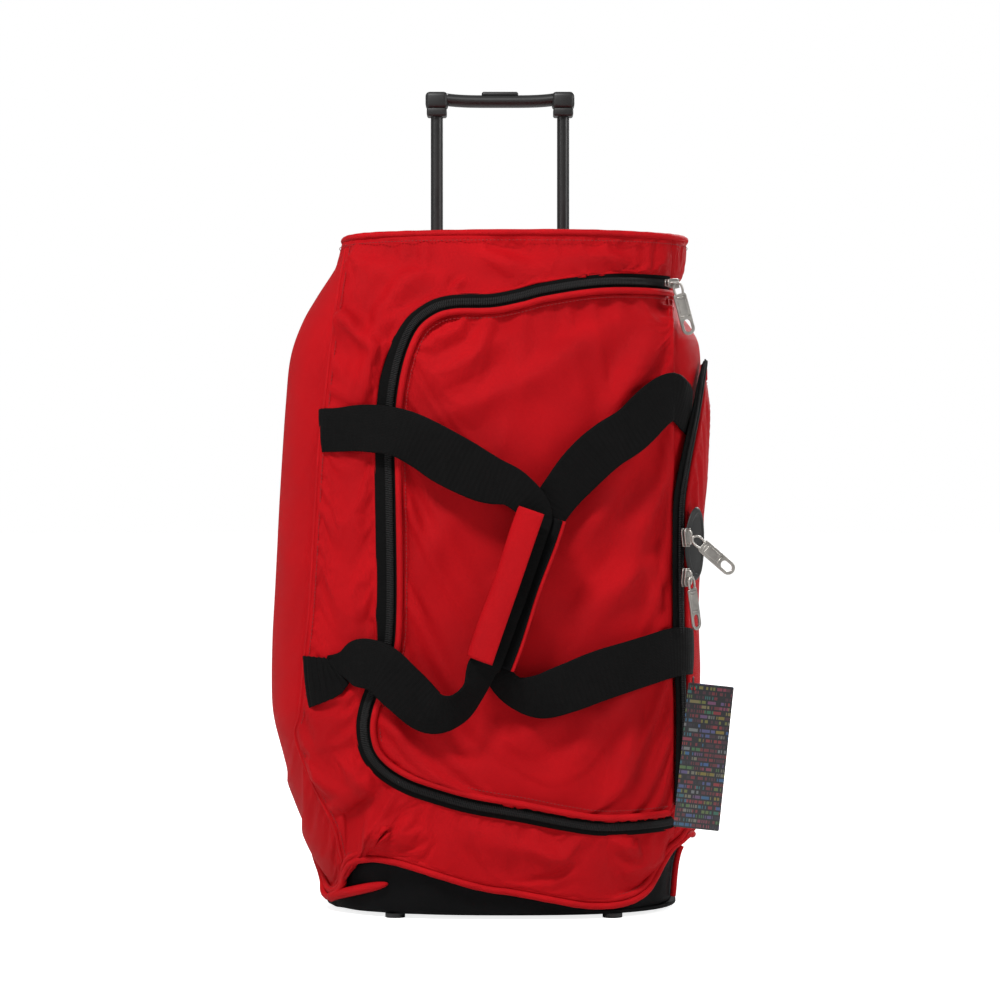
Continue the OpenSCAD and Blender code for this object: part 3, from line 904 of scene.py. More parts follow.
class Repeater:
    """Sets one small shape at many places with a geometry node tree."""

    def __init__(self) -> None:
        """Builds the tree with its named inputs."""
        tree = bpy.data.node_groups.new("set_along", "GeometryNodeTree")
        face = tree.interface
        face.new_socket("Geometry", in_out="INPUT", socket_type="NodeSocketGeometry")
        inputs = {"Length": "Float", "Width": "Float", "Height": "Float", "Shape": "Object",
                  "Finish": "Material"}
        for name, kind in inputs.items():
            face.new_socket(name, in_out="INPUT", socket_type="NodeSocket" + kind)
        face.new_socket("Geometry", in_out="OUTPUT", socket_type="NodeSocketGeometry")
        add = tree.nodes.new
        link = tree.links.new
        source = add("NodeGroupInput")
        turns = []
        for name, axis in (("along", "X"), ("out", "Z")):
            stored = add("GeometryNodeInputNamedAttribute")
            stored.data_type = "FLOAT_VECTOR"
            stored.inputs["Name"].default_value = name
            turn = add("FunctionNodeAlignRotationToVector")
            turn.axis = axis
            link(stored.outputs["Attribute"], turn.inputs["Vector"])
            turns.append(turn)
        turns[1].pivot_axis = "X"
        link(turns[0].outputs[0], turns[1].inputs["Rotation"])
        shape = add("GeometryNodeObjectInfo")
        link(source.outputs["Shape"], shape.inputs["Object"])
        size = add("ShaderNodeCombineXYZ")
        for place, name in enumerate(("Length", "Width", "Height")):
            link(source.outputs[name], size.inputs[place])
        places = add("GeometryNodeInstanceOnPoints")
        link(source.outputs["Geometry"], places.inputs["Points"])
        link(shape.outputs["Geometry"], places.inputs["Instance"])
        link(turns[1].outputs[0], places.inputs["Rotation"])
        link(size.outputs[0], places.inputs["Scale"])
        real = add("GeometryNodeRealizeInstances")
        finish = add("GeometryNodeSetMaterial")
        sink = add("NodeGroupOutput")
        link(places.outputs[0], real.inputs[0])
        link(real.outputs[0], finish.inputs["Geometry"])
        link(source.outputs["Finish"], finish.inputs["Material"])
        link(finish.outputs[0], sink.inputs[0])
        self.tree = tree
        self.ids = {item.name: item.identifier for item in face.items_tree if item.in_out == "INPUT"}

    def run(self, name: str, points: Array, along: Array, out: Array, shape: bpy.types.Object,
            size: tuple[float, float, float], finish: bpy.types.Material) -> bpy.types.Object:
        """Sets a shape at each point and gives the result as one plain mesh.

        Args:
            name: the new piece's name.
            points: the places.
            along: the direction of the shape's X at each place.
            out: the direction of its Z at each place.
            shape: the small shape, one unit in size.
            size: its length, width and height.
            finish: its material.

        Returns:
            The new piece.
        """
        mesh = bpy.data.meshes.new(name)
        mesh.from_pydata(points.tolist(), [], [])
        for key, value in (("along", along), ("out", out)):
            layer = mesh.attributes.new(key, "FLOAT_VECTOR", "POINT")
            layer.data.foreach_set("vector", np.asarray(value, np.float32).ravel())
        piece = bpy.data.objects.new(name, mesh)
        bpy.context.scene.collection.objects.link(piece)
        made = piece.modifiers.new("set_along", "NODES")
        made.node_group = self.tree
        values = {"Length": size[0], "Width": size[1], "Height": size[2], "Shape": shape, "Finish": finish}
        for key, value in values.items():
            made[self.ids[key]] = value
        piece = settle(piece)
        for key in ("along", "out"):
            if key in piece.data.attributes:
                piece.data.attributes.remove(piece.data.attributes[key])
        piece.data.polygons.foreach_set("use_smooth", [True] * len(piece.data.polygons))
        return piece


def small_shape(name: str, rounding: float = 0.28) -> bpy.types.Object:
    """A rounded unit block that isn't part of the object itself.

    Args:
        name: its name.
        rounding: how round it is.

    Returns:
        The block, hidden.
    """
    mesh = bpy.data.meshes.new(name)
    shape = bmesh.new()
    bmesh.ops.create_cube(shape, size=1.0)
    bmesh.ops.bevel(shape, geom=list(shape.edges), offset=rounding, segments=1, affect="EDGES")
    shape.to_mesh(mesh)
    shape.free()
    piece = bpy.data.objects.new(name, mesh)
    bpy.context.scene.collection.objects.link(piece)
    piece.hide_render = True
    piece.hide_viewport = True
    return piece


@dataclass(frozen=True)
class Draping:
    """How a cloth panel is left to settle."""

    spare: float = 0.03
    pressure: float = 1.6
    frames: int = 22
    cap: float = 0.011
    stiffness: float = 12.0
    bending: float = 1.2


def drape(p: Array, how: Draping) -> Array:
    """Lets a grid of cloth settle with its rim held, and gives its new points.

    Args:
        p: grid of points.
        how: how it settles.

    Returns:
        The settled grid.
    """
    n, m = p.shape[:2]
    piece = new_mesh("draping", p, open_faces(n, m))
    held = np.ones((n, m), bool)
    held[2:-2, 2:-2] = False
    group = piece.vertex_groups.new(name="held")
    group.add(np.flatnonzero(held).tolist(), 1.0, "REPLACE")
    cloth = piece.modifiers.new("cloth", "CLOTH")
    cloth.settings.vertex_group_mass = "held"
    cloth.settings.quality = 5
    cloth.settings.mass = 0.2
    cloth.settings.tension_stiffness = how.stiffness
    cloth.settings.compression_stiffness = how.stiffness
    cloth.settings.shear_stiffness = how.stiffness / 2
    cloth.settings.bending_stiffness = how.bending
    cloth.settings.shrink_min = -how.spare
    cloth.settings.use_pressure = True
    cloth.settings.uniform_pressure_force = how.pressure
    cloth.collision_settings.use_collision = False
    cloth.point_cache.frame_start = 1
    cloth.point_cache.frame_end = how.frames
    scene = bpy.context.scene
    for step in range(1, how.frames + 1):
        scene.frame_set(step)
    graph = bpy.context.evaluated_depsgraph_get()
    settled = piece.evaluated_get(graph).to_mesh()
    co = np.zeros(n * m * 3, np.float32)
    settled.vertices.foreach_get("co", co)
    scene.frame_set(1)
    bpy.data.objects.remove(piece)
    move = co.reshape(n, m, 3).astype(float) - p
    far = np.linalg.norm(move, axis=-1, keepdims=True)
    move *= how.cap * np.tanh(far / how.cap) / np.maximum(far, 1e-9)
    LOG.info("cloth settled, largest move %.1f mm", far.max() / MM)
    return p + move


def finer(p: Array, times: int) -> Array:
    """A grid with smooth in-between points.

    Args:
        p: grid of points.
        times: how many steps replace one.

    Returns:
        The finer grid.
    """
    rows = np.stack([smooth_line(p[:, j], times) for j in range(p.shape[1])], 1)
    return np.stack([smooth_line(rows[i], times) for i in range(rows.shape[0])], 0)


# ---------------------------------------------------------------- the bag's soft parts

ZIP_MM = ((158, 577), (150, 577), (92, 575), (41, 567), (18, 561), (-8, 556), (-42, 555), (-62, 549),
          (-79, 534),
          (-91, 506), (-98, 470), (-100, 430), (-99, 378), (-98, 290), (-101, 243), (-112, 213),
          (-120, 190), (-122, 170),
          (-117, 150), (-104, 135), (-84, 123), (-58, 114), (-25, 105), (18, 97.5), (60, 89), (95, 84),
          (150, 85),
          (158, 87))
RIM_MM = ((159, 618), (150, 618), (95, 618), (45, 618), (20, 618), (-16, 618), (-60, 618), (-105, 618),
          (-143, 617),
          (-149, 562), (-154, 505), (-160, 440), (-164, 390), (-172, 290), (-177, 243), (-181, 210),
          (-184, 185),
          (-185, 160), (-177, 130), (-160, 97), (-148, 60), (-105, 50), (-50, 38), (10, 24), (55, 16),
          (97, 12),
          (150, 30), (159, 44))
SEAM_MM = ((0, -146), (38, -142), (60, -146), (83, -152), (127, -174), (163, -187), (186, -182),
           (239, -177), (290, -172),
           (425, -164), (464, -159), (512, -154), (600, -144), (620, -142))
BOOT_MM = ((-9, 62), (6, 66), (18, 70), (25, 64), (32, 45), (41, 23), (52, 13), (66, 12), (78, 18),
           (90, 27), (103, 41),
           (114, 51), (124, 54), (134, 49), (141, 38), (147, 24), (153, 15), (161, 13), (170, 21),
           (180, 45), (189, 62))
POCKET_MM = ((190, 507), (187, 492), (182, 465), (176, 437), (170, 409), (165, 379), (164, 349), (164, 300),
             (165, 240),
             (167, 190), (167, 150), (166, 100))
TOP_EDGE = 0.6195


@dataclass
class FabricBody:
    """The sewn panels of the bag, apart from its flap and pocket."""

    form: BagForm
    finishes: Finishes
    repeater: Repeater
    stitch: bpy.types.Object
    thickness: float = 0.0018
    piping: float = 0.0031
    tape_half: float = 0.006
    stitch_size: tuple[float, float, float] = (0.0024, 0.0007, 0.0006)

    def zip_line(self, count: int = 160) -> Array:
        """Middle of the main zip in x and z, evenly spaced."""
        return even_line(smooth_line(ZIP_MM, 12) * MM, count)

    def outer_gap(self, line: Array) -> Array:
        """How far the front's cloth stays from the zip's middle, which is most beside the straight left run."""
        straight = np.clip((line[:, 1] - 0.225) / 0.05, 0, 1) * np.clip((0.545 - line[:, 1]) / 0.06, 0, 1)
        return self.tape_half + 0.0003 + 0.005 * straight * (line[:, 0] < -0.05)

    def panel(self, name: str, grid: Array, slot: Slot, *nodes: str,
              edge: float = 0.0012) -> bpy.types.Object:
        """Makes a panel from a grid of points, on the bag's body.

        Args:
            name: the piece's name.
            grid: its outer face.
            slot: its finish.
            nodes: the parts that it stands for.
            edge: how far its rim is rolled in.

        Returns:
            The new piece.
        """
        return self.finishes.fit(sheet(name, grid, self.thickness, edge), slot, "bag", *nodes)

    def front_grid(self, along: int, across: int) -> Array:
        """Grid between the front's outer edge and the zip."""
        pair = smooth_line([(*a, *b) for a, b in zip(ZIP_MM, RIM_MM)], 12) * MM
        pair = even_line(pair, along)
        zip_edge = pair[:, :2] - inward(pair[:, :2]) * self.outer_gap(pair[:, :2])[:, None]
        t = np.linspace(0, 1, across)[None, :, None]
        rim = pair[:, 2:].copy()
        seam = table(SEAM_MM)
        lefts = (rim[:, 0] < -0.135) & (rim[:, 1] < 0.612)
        rim[lefts, 0] = seam(rim[lefts, 1])
        low = rim[:, 1] < 0.075
        boot = smooth_line(BOOT_MM, 8) * (1, MM)
        for _ in range(3):
            angle = self.form.angle_of(rim[low, 0], rim[low, 1])
            rim[low, 1] = np.interp(angle, boot[::1, 0], boot[:, 1]) + 0.0006
        flat = rim[:, None] * (1 - t) + zip_edge[:, None] * t
        grid = self.form.on_front(flat[..., 0], flat[..., 1])
        held = np.clip(t[..., 0] / 0.1, 0, 1) * np.clip((1 - t[..., 0]) / 0.08, 0, 1)
        return grid + grid_normals(grid) * (held * self.form.folds(flat[..., 0], flat[..., 1]))[..., None]

    def build_front(self) -> None:
        """Makes the frame of the front."""
        grid = drape(self.front_grid(230, 24), Draping(spare=0.03, pressure=1.8, cap=0.005))
        self.panel("front_cloth", finer(grid, 2), Slot.RED, "front_frame")

    def side_grid(self, back: float, seam: Callable[[Array], Array], from_back: bool, across: int,
                  up: int) -> Array:
        """Grid of a side panel, from the back corner to the front seam.

        Args:
            back: section angle of its back edge.
            seam: x of its front seam at each height.
            from_back: whether the first row is the back edge.
            across: rows across.
            up: points up.

        Returns:
            The grid.
        """
        u = np.linspace(0, 1, across) if from_back else np.linspace(1, 0, across)
        low_angle = float(self.form.angle_of(seam(0.06), np.float64(0.06)))
        boot = smooth_line(BOOT_MM, 6)
        rows = []
        for s in u:
            a = back + (low_angle - back) * s
            z0 = np.interp(a, boot[:, 0], boot[:, 1]) * MM + 0.001 if -9 < a < 189 else 0.066
            z = np.linspace(z0, TOP_EDGE, up)
            angle = back + (self.form.angle_of(seam(z), z) - back) * s
            swell = 0.003 * np.sin(np.pi * s) * np.sin(np.pi * np.linspace(0, 1, up))
            swell = swell - 0.0024 * np.clip((s - 0.93) / 0.07, 0, 1)
            rows.append(self.form.skin(angle, z, swell))
        return np.array(rows)

    def build_sides(self) -> None:
        """Makes both side panels."""
        seam = table(SEAM_MM)
        left = self.side_grid(224.0, lambda z: seam(z) + 0.0035, True, 60, 120)
        left = drape(left, Draping(spare=0.02, pressure=1.8, cap=0.003))
        self.panel("left_cloth", finer(left, 2), Slot.RED, "side_panel_left")
        right = self.side_grid(-44.0, lambda z: np.full_like(z, 0.1560), False, 56, 120)
        right = drape(right, Draping(spare=0.02, pressure=1.5, cap=0.004))
        self.panel("right_cloth", finer(right, 2), Slot.RED, "side_panel_right")

    def build_back(self) -> None:
        """Makes the back panel, which the board holds flat."""
        angle = np.linspace(-41.5, -138.5, 70)[:, None]
        z = np.linspace(0.066, TOP_EDGE, 90)[None, :]
        tucked = -0.0024 * np.clip((np.abs(angle + 90) - 42) / 3, 0, 1)
        self.panel("back_cloth", self.form.skin(angle, z, tucked), Slot.BLACK, "back_panel")

    def build_boot(self) -> None:
        """Makes the black lower shell."""
        boot = smooth_line(BOOT_MM, 8)
        angle = np.linspace(189, -9, 150)
        top = np.interp(angle, boot[:, 0], boot[:, 1]) * MM
        t = np.linspace(0, 1, 14)[None, :]
        z = 0.0042 + (top[:, None] - 0.0042) * t
        wave = 0.0012 * np.sin(angle[:, None] * 0.31) * np.sin(np.pi * t)
        grid = self.form.skin(np.broadcast_to(angle[:, None], z.shape), z, -0.002 + wave)
        self.panel("boot_cloth", grid, Slot.BLACK, "boot_shell")

    def build_top(self) -> None:
        """Makes the top end panel, slightly slack between its edges."""
        angle = np.linspace(0, 360, 97)
        rim = self.form.skin(angle, np.full_like(angle, TOP_EDGE - 0.001), -0.003)
        centre = np.array([0.015, 0.035, 0.6145])
        t = np.linspace(0, 0.999, 26)[:, None, None]
        grid = rim[None] * (1 - t) + centre * t
        slack = 0.004 * np.sin(np.pi * (1 - t[..., 0]) ** 0.7)
        near_tubes = np.clip((0.10 - grid[..., 1]) / 0.05, 0, 1)
        grid[..., 2] += slack * near_tubes
        self.panel("top_cloth", grid, Slot.RED, "top_end_panel")

    def binding(self, name: str, line: Array, node: str) -> None:
        """Makes a piping cord.

        Args:
            name: the piece's name.
            line: its middle.
            node: the part that it stands for.
        """
        steps = np.arange(len(line))
        radius = self.piping * (1 + 0.05 * np.sin(steps * 0.9) * np.sin(steps * 0.23))
        self.finishes.fit(tube(name, line, radius, 12, (0, 0, 1)), Slot.PIPING, "bag", node)

    def build_bindings(self) -> None:
        """Makes the piping round the top and above the boot."""
        angle = np.linspace(265, -94, 260)
        sag = 0.0016 * np.sin(np.radians(angle) * 5 + 1)
        self.binding("top_binding",
                     self.form.skin(angle, TOP_EDGE + 0.0002 + sag * 0.15, -0.001 + sag * 0.2), "top_piping")
        self.stitch_row("top_stitches", self.form.skin(angle, TOP_EDGE - 0.0068, 0.0009), "bag")
        boot = smooth_line(BOOT_MM, 8)
        angle = np.linspace(189, -9, 240)
        z = np.interp(angle, boot[:, 0], boot[:, 1]) * MM + 0.0005
        self.binding("boot_binding", self.form.skin(angle, z, self.piping * 0.75), "bottom_piping")
        self.binding("boot_flange", self.form.skin(angle, z + 0.0058, 0.0002), "bottom_piping")

    def build_seam(self) -> None:
        """Makes the cord over the left seam and the row of stitches beside it."""
        seam = table(SEAM_MM)
        z = np.linspace(0.050, 0.610, 260)
        line = self.form.on_front(seam(z) + 0.0006, z, -0.0006)
        self.finishes.fit(tube("seam_cord", line, 0.0016, 10), Slot.PIPING, "bag")
        self.stitch_row("seam_stitches", self.form.on_front(seam(z) + 0.0046, z, 0.0003), "bag")
        rim = smooth_line(BOOT_MM, 8) * (1, MM)
        angle = np.linspace(176, 2, 300)
        height = np.interp(angle, rim[:, 0], rim[:, 1]) + 0.0095
        self.stitch_row("hem_stitches", self.form.skin(angle, height, 0.0005), "bag")

    def stitch_row(self, name: str, line: Array, body: str = "", pitch: float = 0.0034) -> bpy.types.Object:
        """Makes a row of sewn stitches along a line.

        Args:
            name: the row's name.
            line: points on the cloth.
            body: the body it rides on, or empty if it is set later.
            pitch: from one stitch to the next.

        Returns:
            The row.
        """
        length = np.linalg.norm(np.diff(line, axis=0), axis=1).sum()
        path = even_line(line, max(8, int(length / pitch)))
        run = tangents(path)
        height = path[:, 2]
        centre = np.column_stack([self.form.middle(height), np.full(len(path), self.form.middle_y), height])
        away = path - centre
        out = unit_rows(away - run * np.sum(away * run, axis=1)[:, None])
        thread = self.finishes.made[Slot.THREAD]
        piece = self.repeater.run(name, path, run, out, self.stitch, self.stitch_size, thread)
        if body:
            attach(piece, body)
        return piece

    def build_corner_bindings(self) -> None:
        """Makes the tucked red fold at the left corner and the upright binding at the right one."""
        along = np.linspace(0, 1, 40)
        x = -0.155 + 0.054 * along
        z = 0.0135 + 0.0185 * along ** 0.75
        radius = 0.0046 * np.sqrt(1 - 0.985 * along ** 5)
        tongue = tube("corner_fold", self.form.on_front(x, z, radius * 0.3), radius, 12, (0, 0, 1))
        upright_z = np.linspace(0.012, 0.058, 30)
        upright = tube("corner_upright",
                       self.form.skin(13 + 1.5 * np.sin(upright_z * 70), upright_z, 0.0008), 0.0028, 12)
        self.finishes.fit(join("corner_bindings", [tongue, upright]), Slot.PIPING, "bag")

    def build(self) -> None:
        """Makes every panel and piping."""
        self.build_front()
        self.build_sides()
        self.build_back()
        self.build_boot()
        self.build_top()
        self.build_bindings()
        self.build_corner_bindings()
        self.build_seam()


@dataclass
class Flap:
    """The flap inside the U-shaped zip, with its piping."""

    body: FabricBody
    edge_gap: float = 0.0063

    def grid(self, along: int, across: int) -> Array:
        """Grid from the zip's inner edge to the hinge line."""
        line = self.body.zip_line(along)
        edge = line + inward(line) * self.edge_gap
        side = np.column_stack([np.full(along, 0.1590), np.linspace(edge[0, 1], edge[-1, 1], along)])
        t = np.linspace(0, 1, across)[None, :, None]
        flat = edge[:, None] * (1 - t) + side[:, None] * t
        form = self.body.form
        grid = form.on_front(flat[..., 0], flat[..., 1])
        held = np.clip(t[..., 0] / 0.06, 0, 1) ** 0.7 * np.clip((1 - t[..., 0]) / 0.05, 0, 1)
        return grid + grid_normals(grid) * (held * form.folds(flat[..., 0], flat[..., 1]))[..., None]

    def bend(self, piece: bpy.types.Object) -> None:
        """Applies a piece's place to its mesh."""
        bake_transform(piece)

    def build(self) -> None:
        """Makes the flap and its piping."""
        body = self.body
        grid = drape(self.grid(200, 60), Draping(spare=0.022, pressure=2.2, cap=0.009))
        cloth = sheet("flap_cloth", finer(grid, 2), body.thickness, 0.001)
        body.finishes.dress(cloth, Slot.RED)
        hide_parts("flap_panel")
        self.bend(cloth)
        line = body.zip_line(420)
        line = line + inward(line) * (self.edge_gap + body.piping * 0.8)
        cord = tube("flap_binding", body.form.on_front(line[:, 0], line[:, 1], body.piping * 0.75),
                    body.piping * 0.95)
        body.finishes.dress(cord, Slot.PIPING)
        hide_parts("flap_piping")
        self.bend(cord)
        inner = body.zip_line(420)
        inner = inner + inward(inner) * (self.edge_gap + 0.0084)
        self.bend(body.stitch_row("flap_stitches", body.form.on_front(inner[:, 0], inner[:, 1], 0.0006)))
        LOG.info("made the flap")


@dataclass
class ZipTrack:
    """Two halves of zip tape with their coils, along a line on the bag."""

    finishes: Finishes
    repeater: Repeater
    tooth: bpy.types.Object
    place: Callable[[Array, Array], Array]
    pitch: float = 0.0016

    def tape(self, name: str, line: Array, start: float | Array, end: float | Array) -> bpy.types.Object:
        """Makes a strip of tape.

        Args:
            name: the piece's name.
            line: the zip's middle, in x and z.
            start: offset of one edge, or of each point of it.
            end: offset of the other edge, likewise.

        Returns:
            The strip.
        """
        side = inward(line)
        t = np.linspace(np.broadcast_to(start, len(line)), np.broadcast_to(end, len(line)), 4, axis=1)
        flat = line[:, None] + side[:, None] * t[..., None]
        piece = sheet(name, self.place(flat, np.full(flat.shape[:2], -0.0004)), 0.0009)
        return self.finishes.dress(piece, Slot.TAPE)

    def coil(self, name: str, line: Array, offset: float, phase: float,
             width: float = 0.0042) -> bpy.types.Object:
        """Makes one row of coil teeth.

        Args:
            name: the piece's name.
            line: the zip's middle, in x and z.
            offset: how far the row's middle lies from it.
            phase: where its first tooth is, as a share of the pitch.
            width: how far a tooth reaches across.

        Returns:
            The row.
        """
        flat = line + inward(line) * offset
        lift = np.full(len(flat), 0.0011)
        path = self.place(flat[:, None], lift[:, None])[:, 0]
        beside = self.place((flat + inward(line) * 0.001)[:, None], lift[:, None])[:, 0]
        across = unit_rows(beside - path)
        length = np.linalg.norm(np.diff(path, axis=0), axis=1)
        s = np.concatenate([[0], np.cumsum(length)])
        want = np.arange(self.pitch * phase, s[-1], self.pitch)
        pick = [np.column_stack([np.interp(want, s, v[:, k]) for k in range(3)]) for v in (path, across)]
        run = tangents(pick[0])
        out = unit_rows(np.cross(run, pick[1]))
        piece = self.repeater.run(name, pick[0], run, out, self.tooth, (self.pitch * 0.62, width, 0.0019),
                                  self.finishes.made[Slot.COIL])
        return piece


@dataclass
class MainZip:
    """The U-shaped zip round the flap."""

    body: FabricBody
    flap: Flap
    repeater: Repeater
    tooth: bpy.types.Object

    def build(self) -> None:
        """Makes both halves of the zip."""
        form = self.body.form
        track = ZipTrack(self.body.finishes, self.repeater, self.tooth,
                         lambda flat, out: form.on_front(flat[..., 0], flat[..., 1], out))
        line = self.body.zip_line(360)
        fixed_tape = track.tape("zip_tape_fixed", line, -self.body.outer_gap(line) - 0.0016, -0.0002)
        fixed_coil = track.coil("zip_coil_fixed", line, -0.0014, 0.25)
        moving_tape = track.tape("zip_tape_moving", line, 0.0002, 0.0078)
        moving_coil = track.coil("zip_coil_moving", line, 0.0014, 0.75)
        for piece, node in ((fixed_tape, "zip_tape_frame"), (fixed_coil, "zip_coil_frame")):
            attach(piece, "bag")
            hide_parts(node)
        for piece, node in ((moving_tape, "zip_tape_flap"), (moving_coil, "zip_coil_flap")):
            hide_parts(node)
            self.flap.bend(piece)
        LOG.info("made the main zip")


@dataclass
class SidePocket:
    """The zipped pocket on the right side, with its badge."""

    body: FabricBody
    repeater: Repeater
    tooth: bpy.types.Object
    lift: float = 0.0032

    def place(self, flat: Array, out: Array) -> Array:
        """Points over the skin from flat x and z places and a lift."""
        form = self.body.form
        x, z = flat[..., 0], flat[..., 1]
        return form.skin(form.angle_of(x, z, self.lift), z, self.lift + out)

    def build(self) -> None:
        """Makes the pocket's panel, zip and badge."""
        form = self.body.form
        finishes = self.body.finishes
        line = even_line(smooth_line(POCKET_MM, 10) * MM, 150)
        u = np.linspace(0, 1, 44)[:, None]
        v = np.linspace(1, 0, 150)[None, :]
        down = line[::-1]
        start = form.angle_of(down[:, 0] + 0.0055, down[:, 1], self.lift)[None, :]
        swell = 0.0065 * np.sin(np.pi * u ** 0.7) * np.clip(np.sin(np.pi * v), 0, 1) ** 0.45
        wave = 0.0012 * np.sin(v * 17 + u * 5) * np.sin(np.pi * u)
        z = np.broadcast_to(down[:, 1], (44, 150))
        grid = form.skin(start * (1 - u) + -36 * u, z, self.lift + swell + wave)
        grid = drape(grid, Draping(spare=0.03, pressure=1.5, cap=0.004))
        self.body.panel("pocket_cloth", finer(grid, 2), Slot.RED, "pocket_panel")
        track = ZipTrack(finishes, self.repeater, self.tooth, self.place)
        fine = even_line(line, 220)
        ends = np.clip(np.linspace(0, 14, 220), 0, 1)
        side = inward(fine) * 0.001
        base = self.place(fine, np.zeros(220))
        ahead = np.linalg.norm(self.place(fine + side, np.zeros(220)) - base, axis=1) / 0.001
        behind = np.linalg.norm(self.place(fine - side, np.zeros(220)) - base, axis=1) / 0.001
        rounded = np.sqrt(1 - (1 - ends) ** 2)
        start = -np.minimum(0.0074, 0.0105 / behind) * rounded - 0.0002
        tape = track.tape("pocket_tape", fine, start, np.minimum(0.0066, 0.0085 / ahead) * rounded + 0.0002)
        rows = [track.coil("pocket_coil_a", fine, -0.0012, 0.25, 0.0036),
                track.coil("pocket_coil_b", fine, 0.0012, 0.75, 0.0036)]
        coil = join("pocket_coil", rows)
        for piece, node in ((tape, "pocket_zip_tape"), (coil, "pocket_zip_coil")):
            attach(piece, "bag")
            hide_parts(node)
        self.build_badge()

    def build_badge(self) -> None:
        """Makes the oval rubber badge with its raised rim."""
        form = self.body.form
        r = np.concatenate([np.linspace(0.02, 0.84, 10), [0.87, 0.9, 0.94, 0.98, 1.0]])
        a = np.linspace(2 * np.pi, 0, 72)
        up = np.interp(r, [0, 0.84, 0.88, 0.96, 1.0], [0.0004, 0.0004, 0.0016, 0.0016, 0.0])
        angle = 23.4 + r[:, None] * np.cos(a)[None, :] * 6.2
        z = 0.338 + r[:, None] * np.sin(a)[None, :] * 0.0325
        swell = 0.0065 * np.sin(np.pi * np.clip((34 - angle) / 70, 0, 1) ** 0.7)
        grid = form.skin(angle, z, self.lift + swell + 0.0022 + up[:, None])
        self.body.finishes.fit(sheet("oval_badge", grid[::-1], 0.0014), Slot.BADGE, "bag", "pocket_badge")


# ---------------------------------------------------------------- carry handles


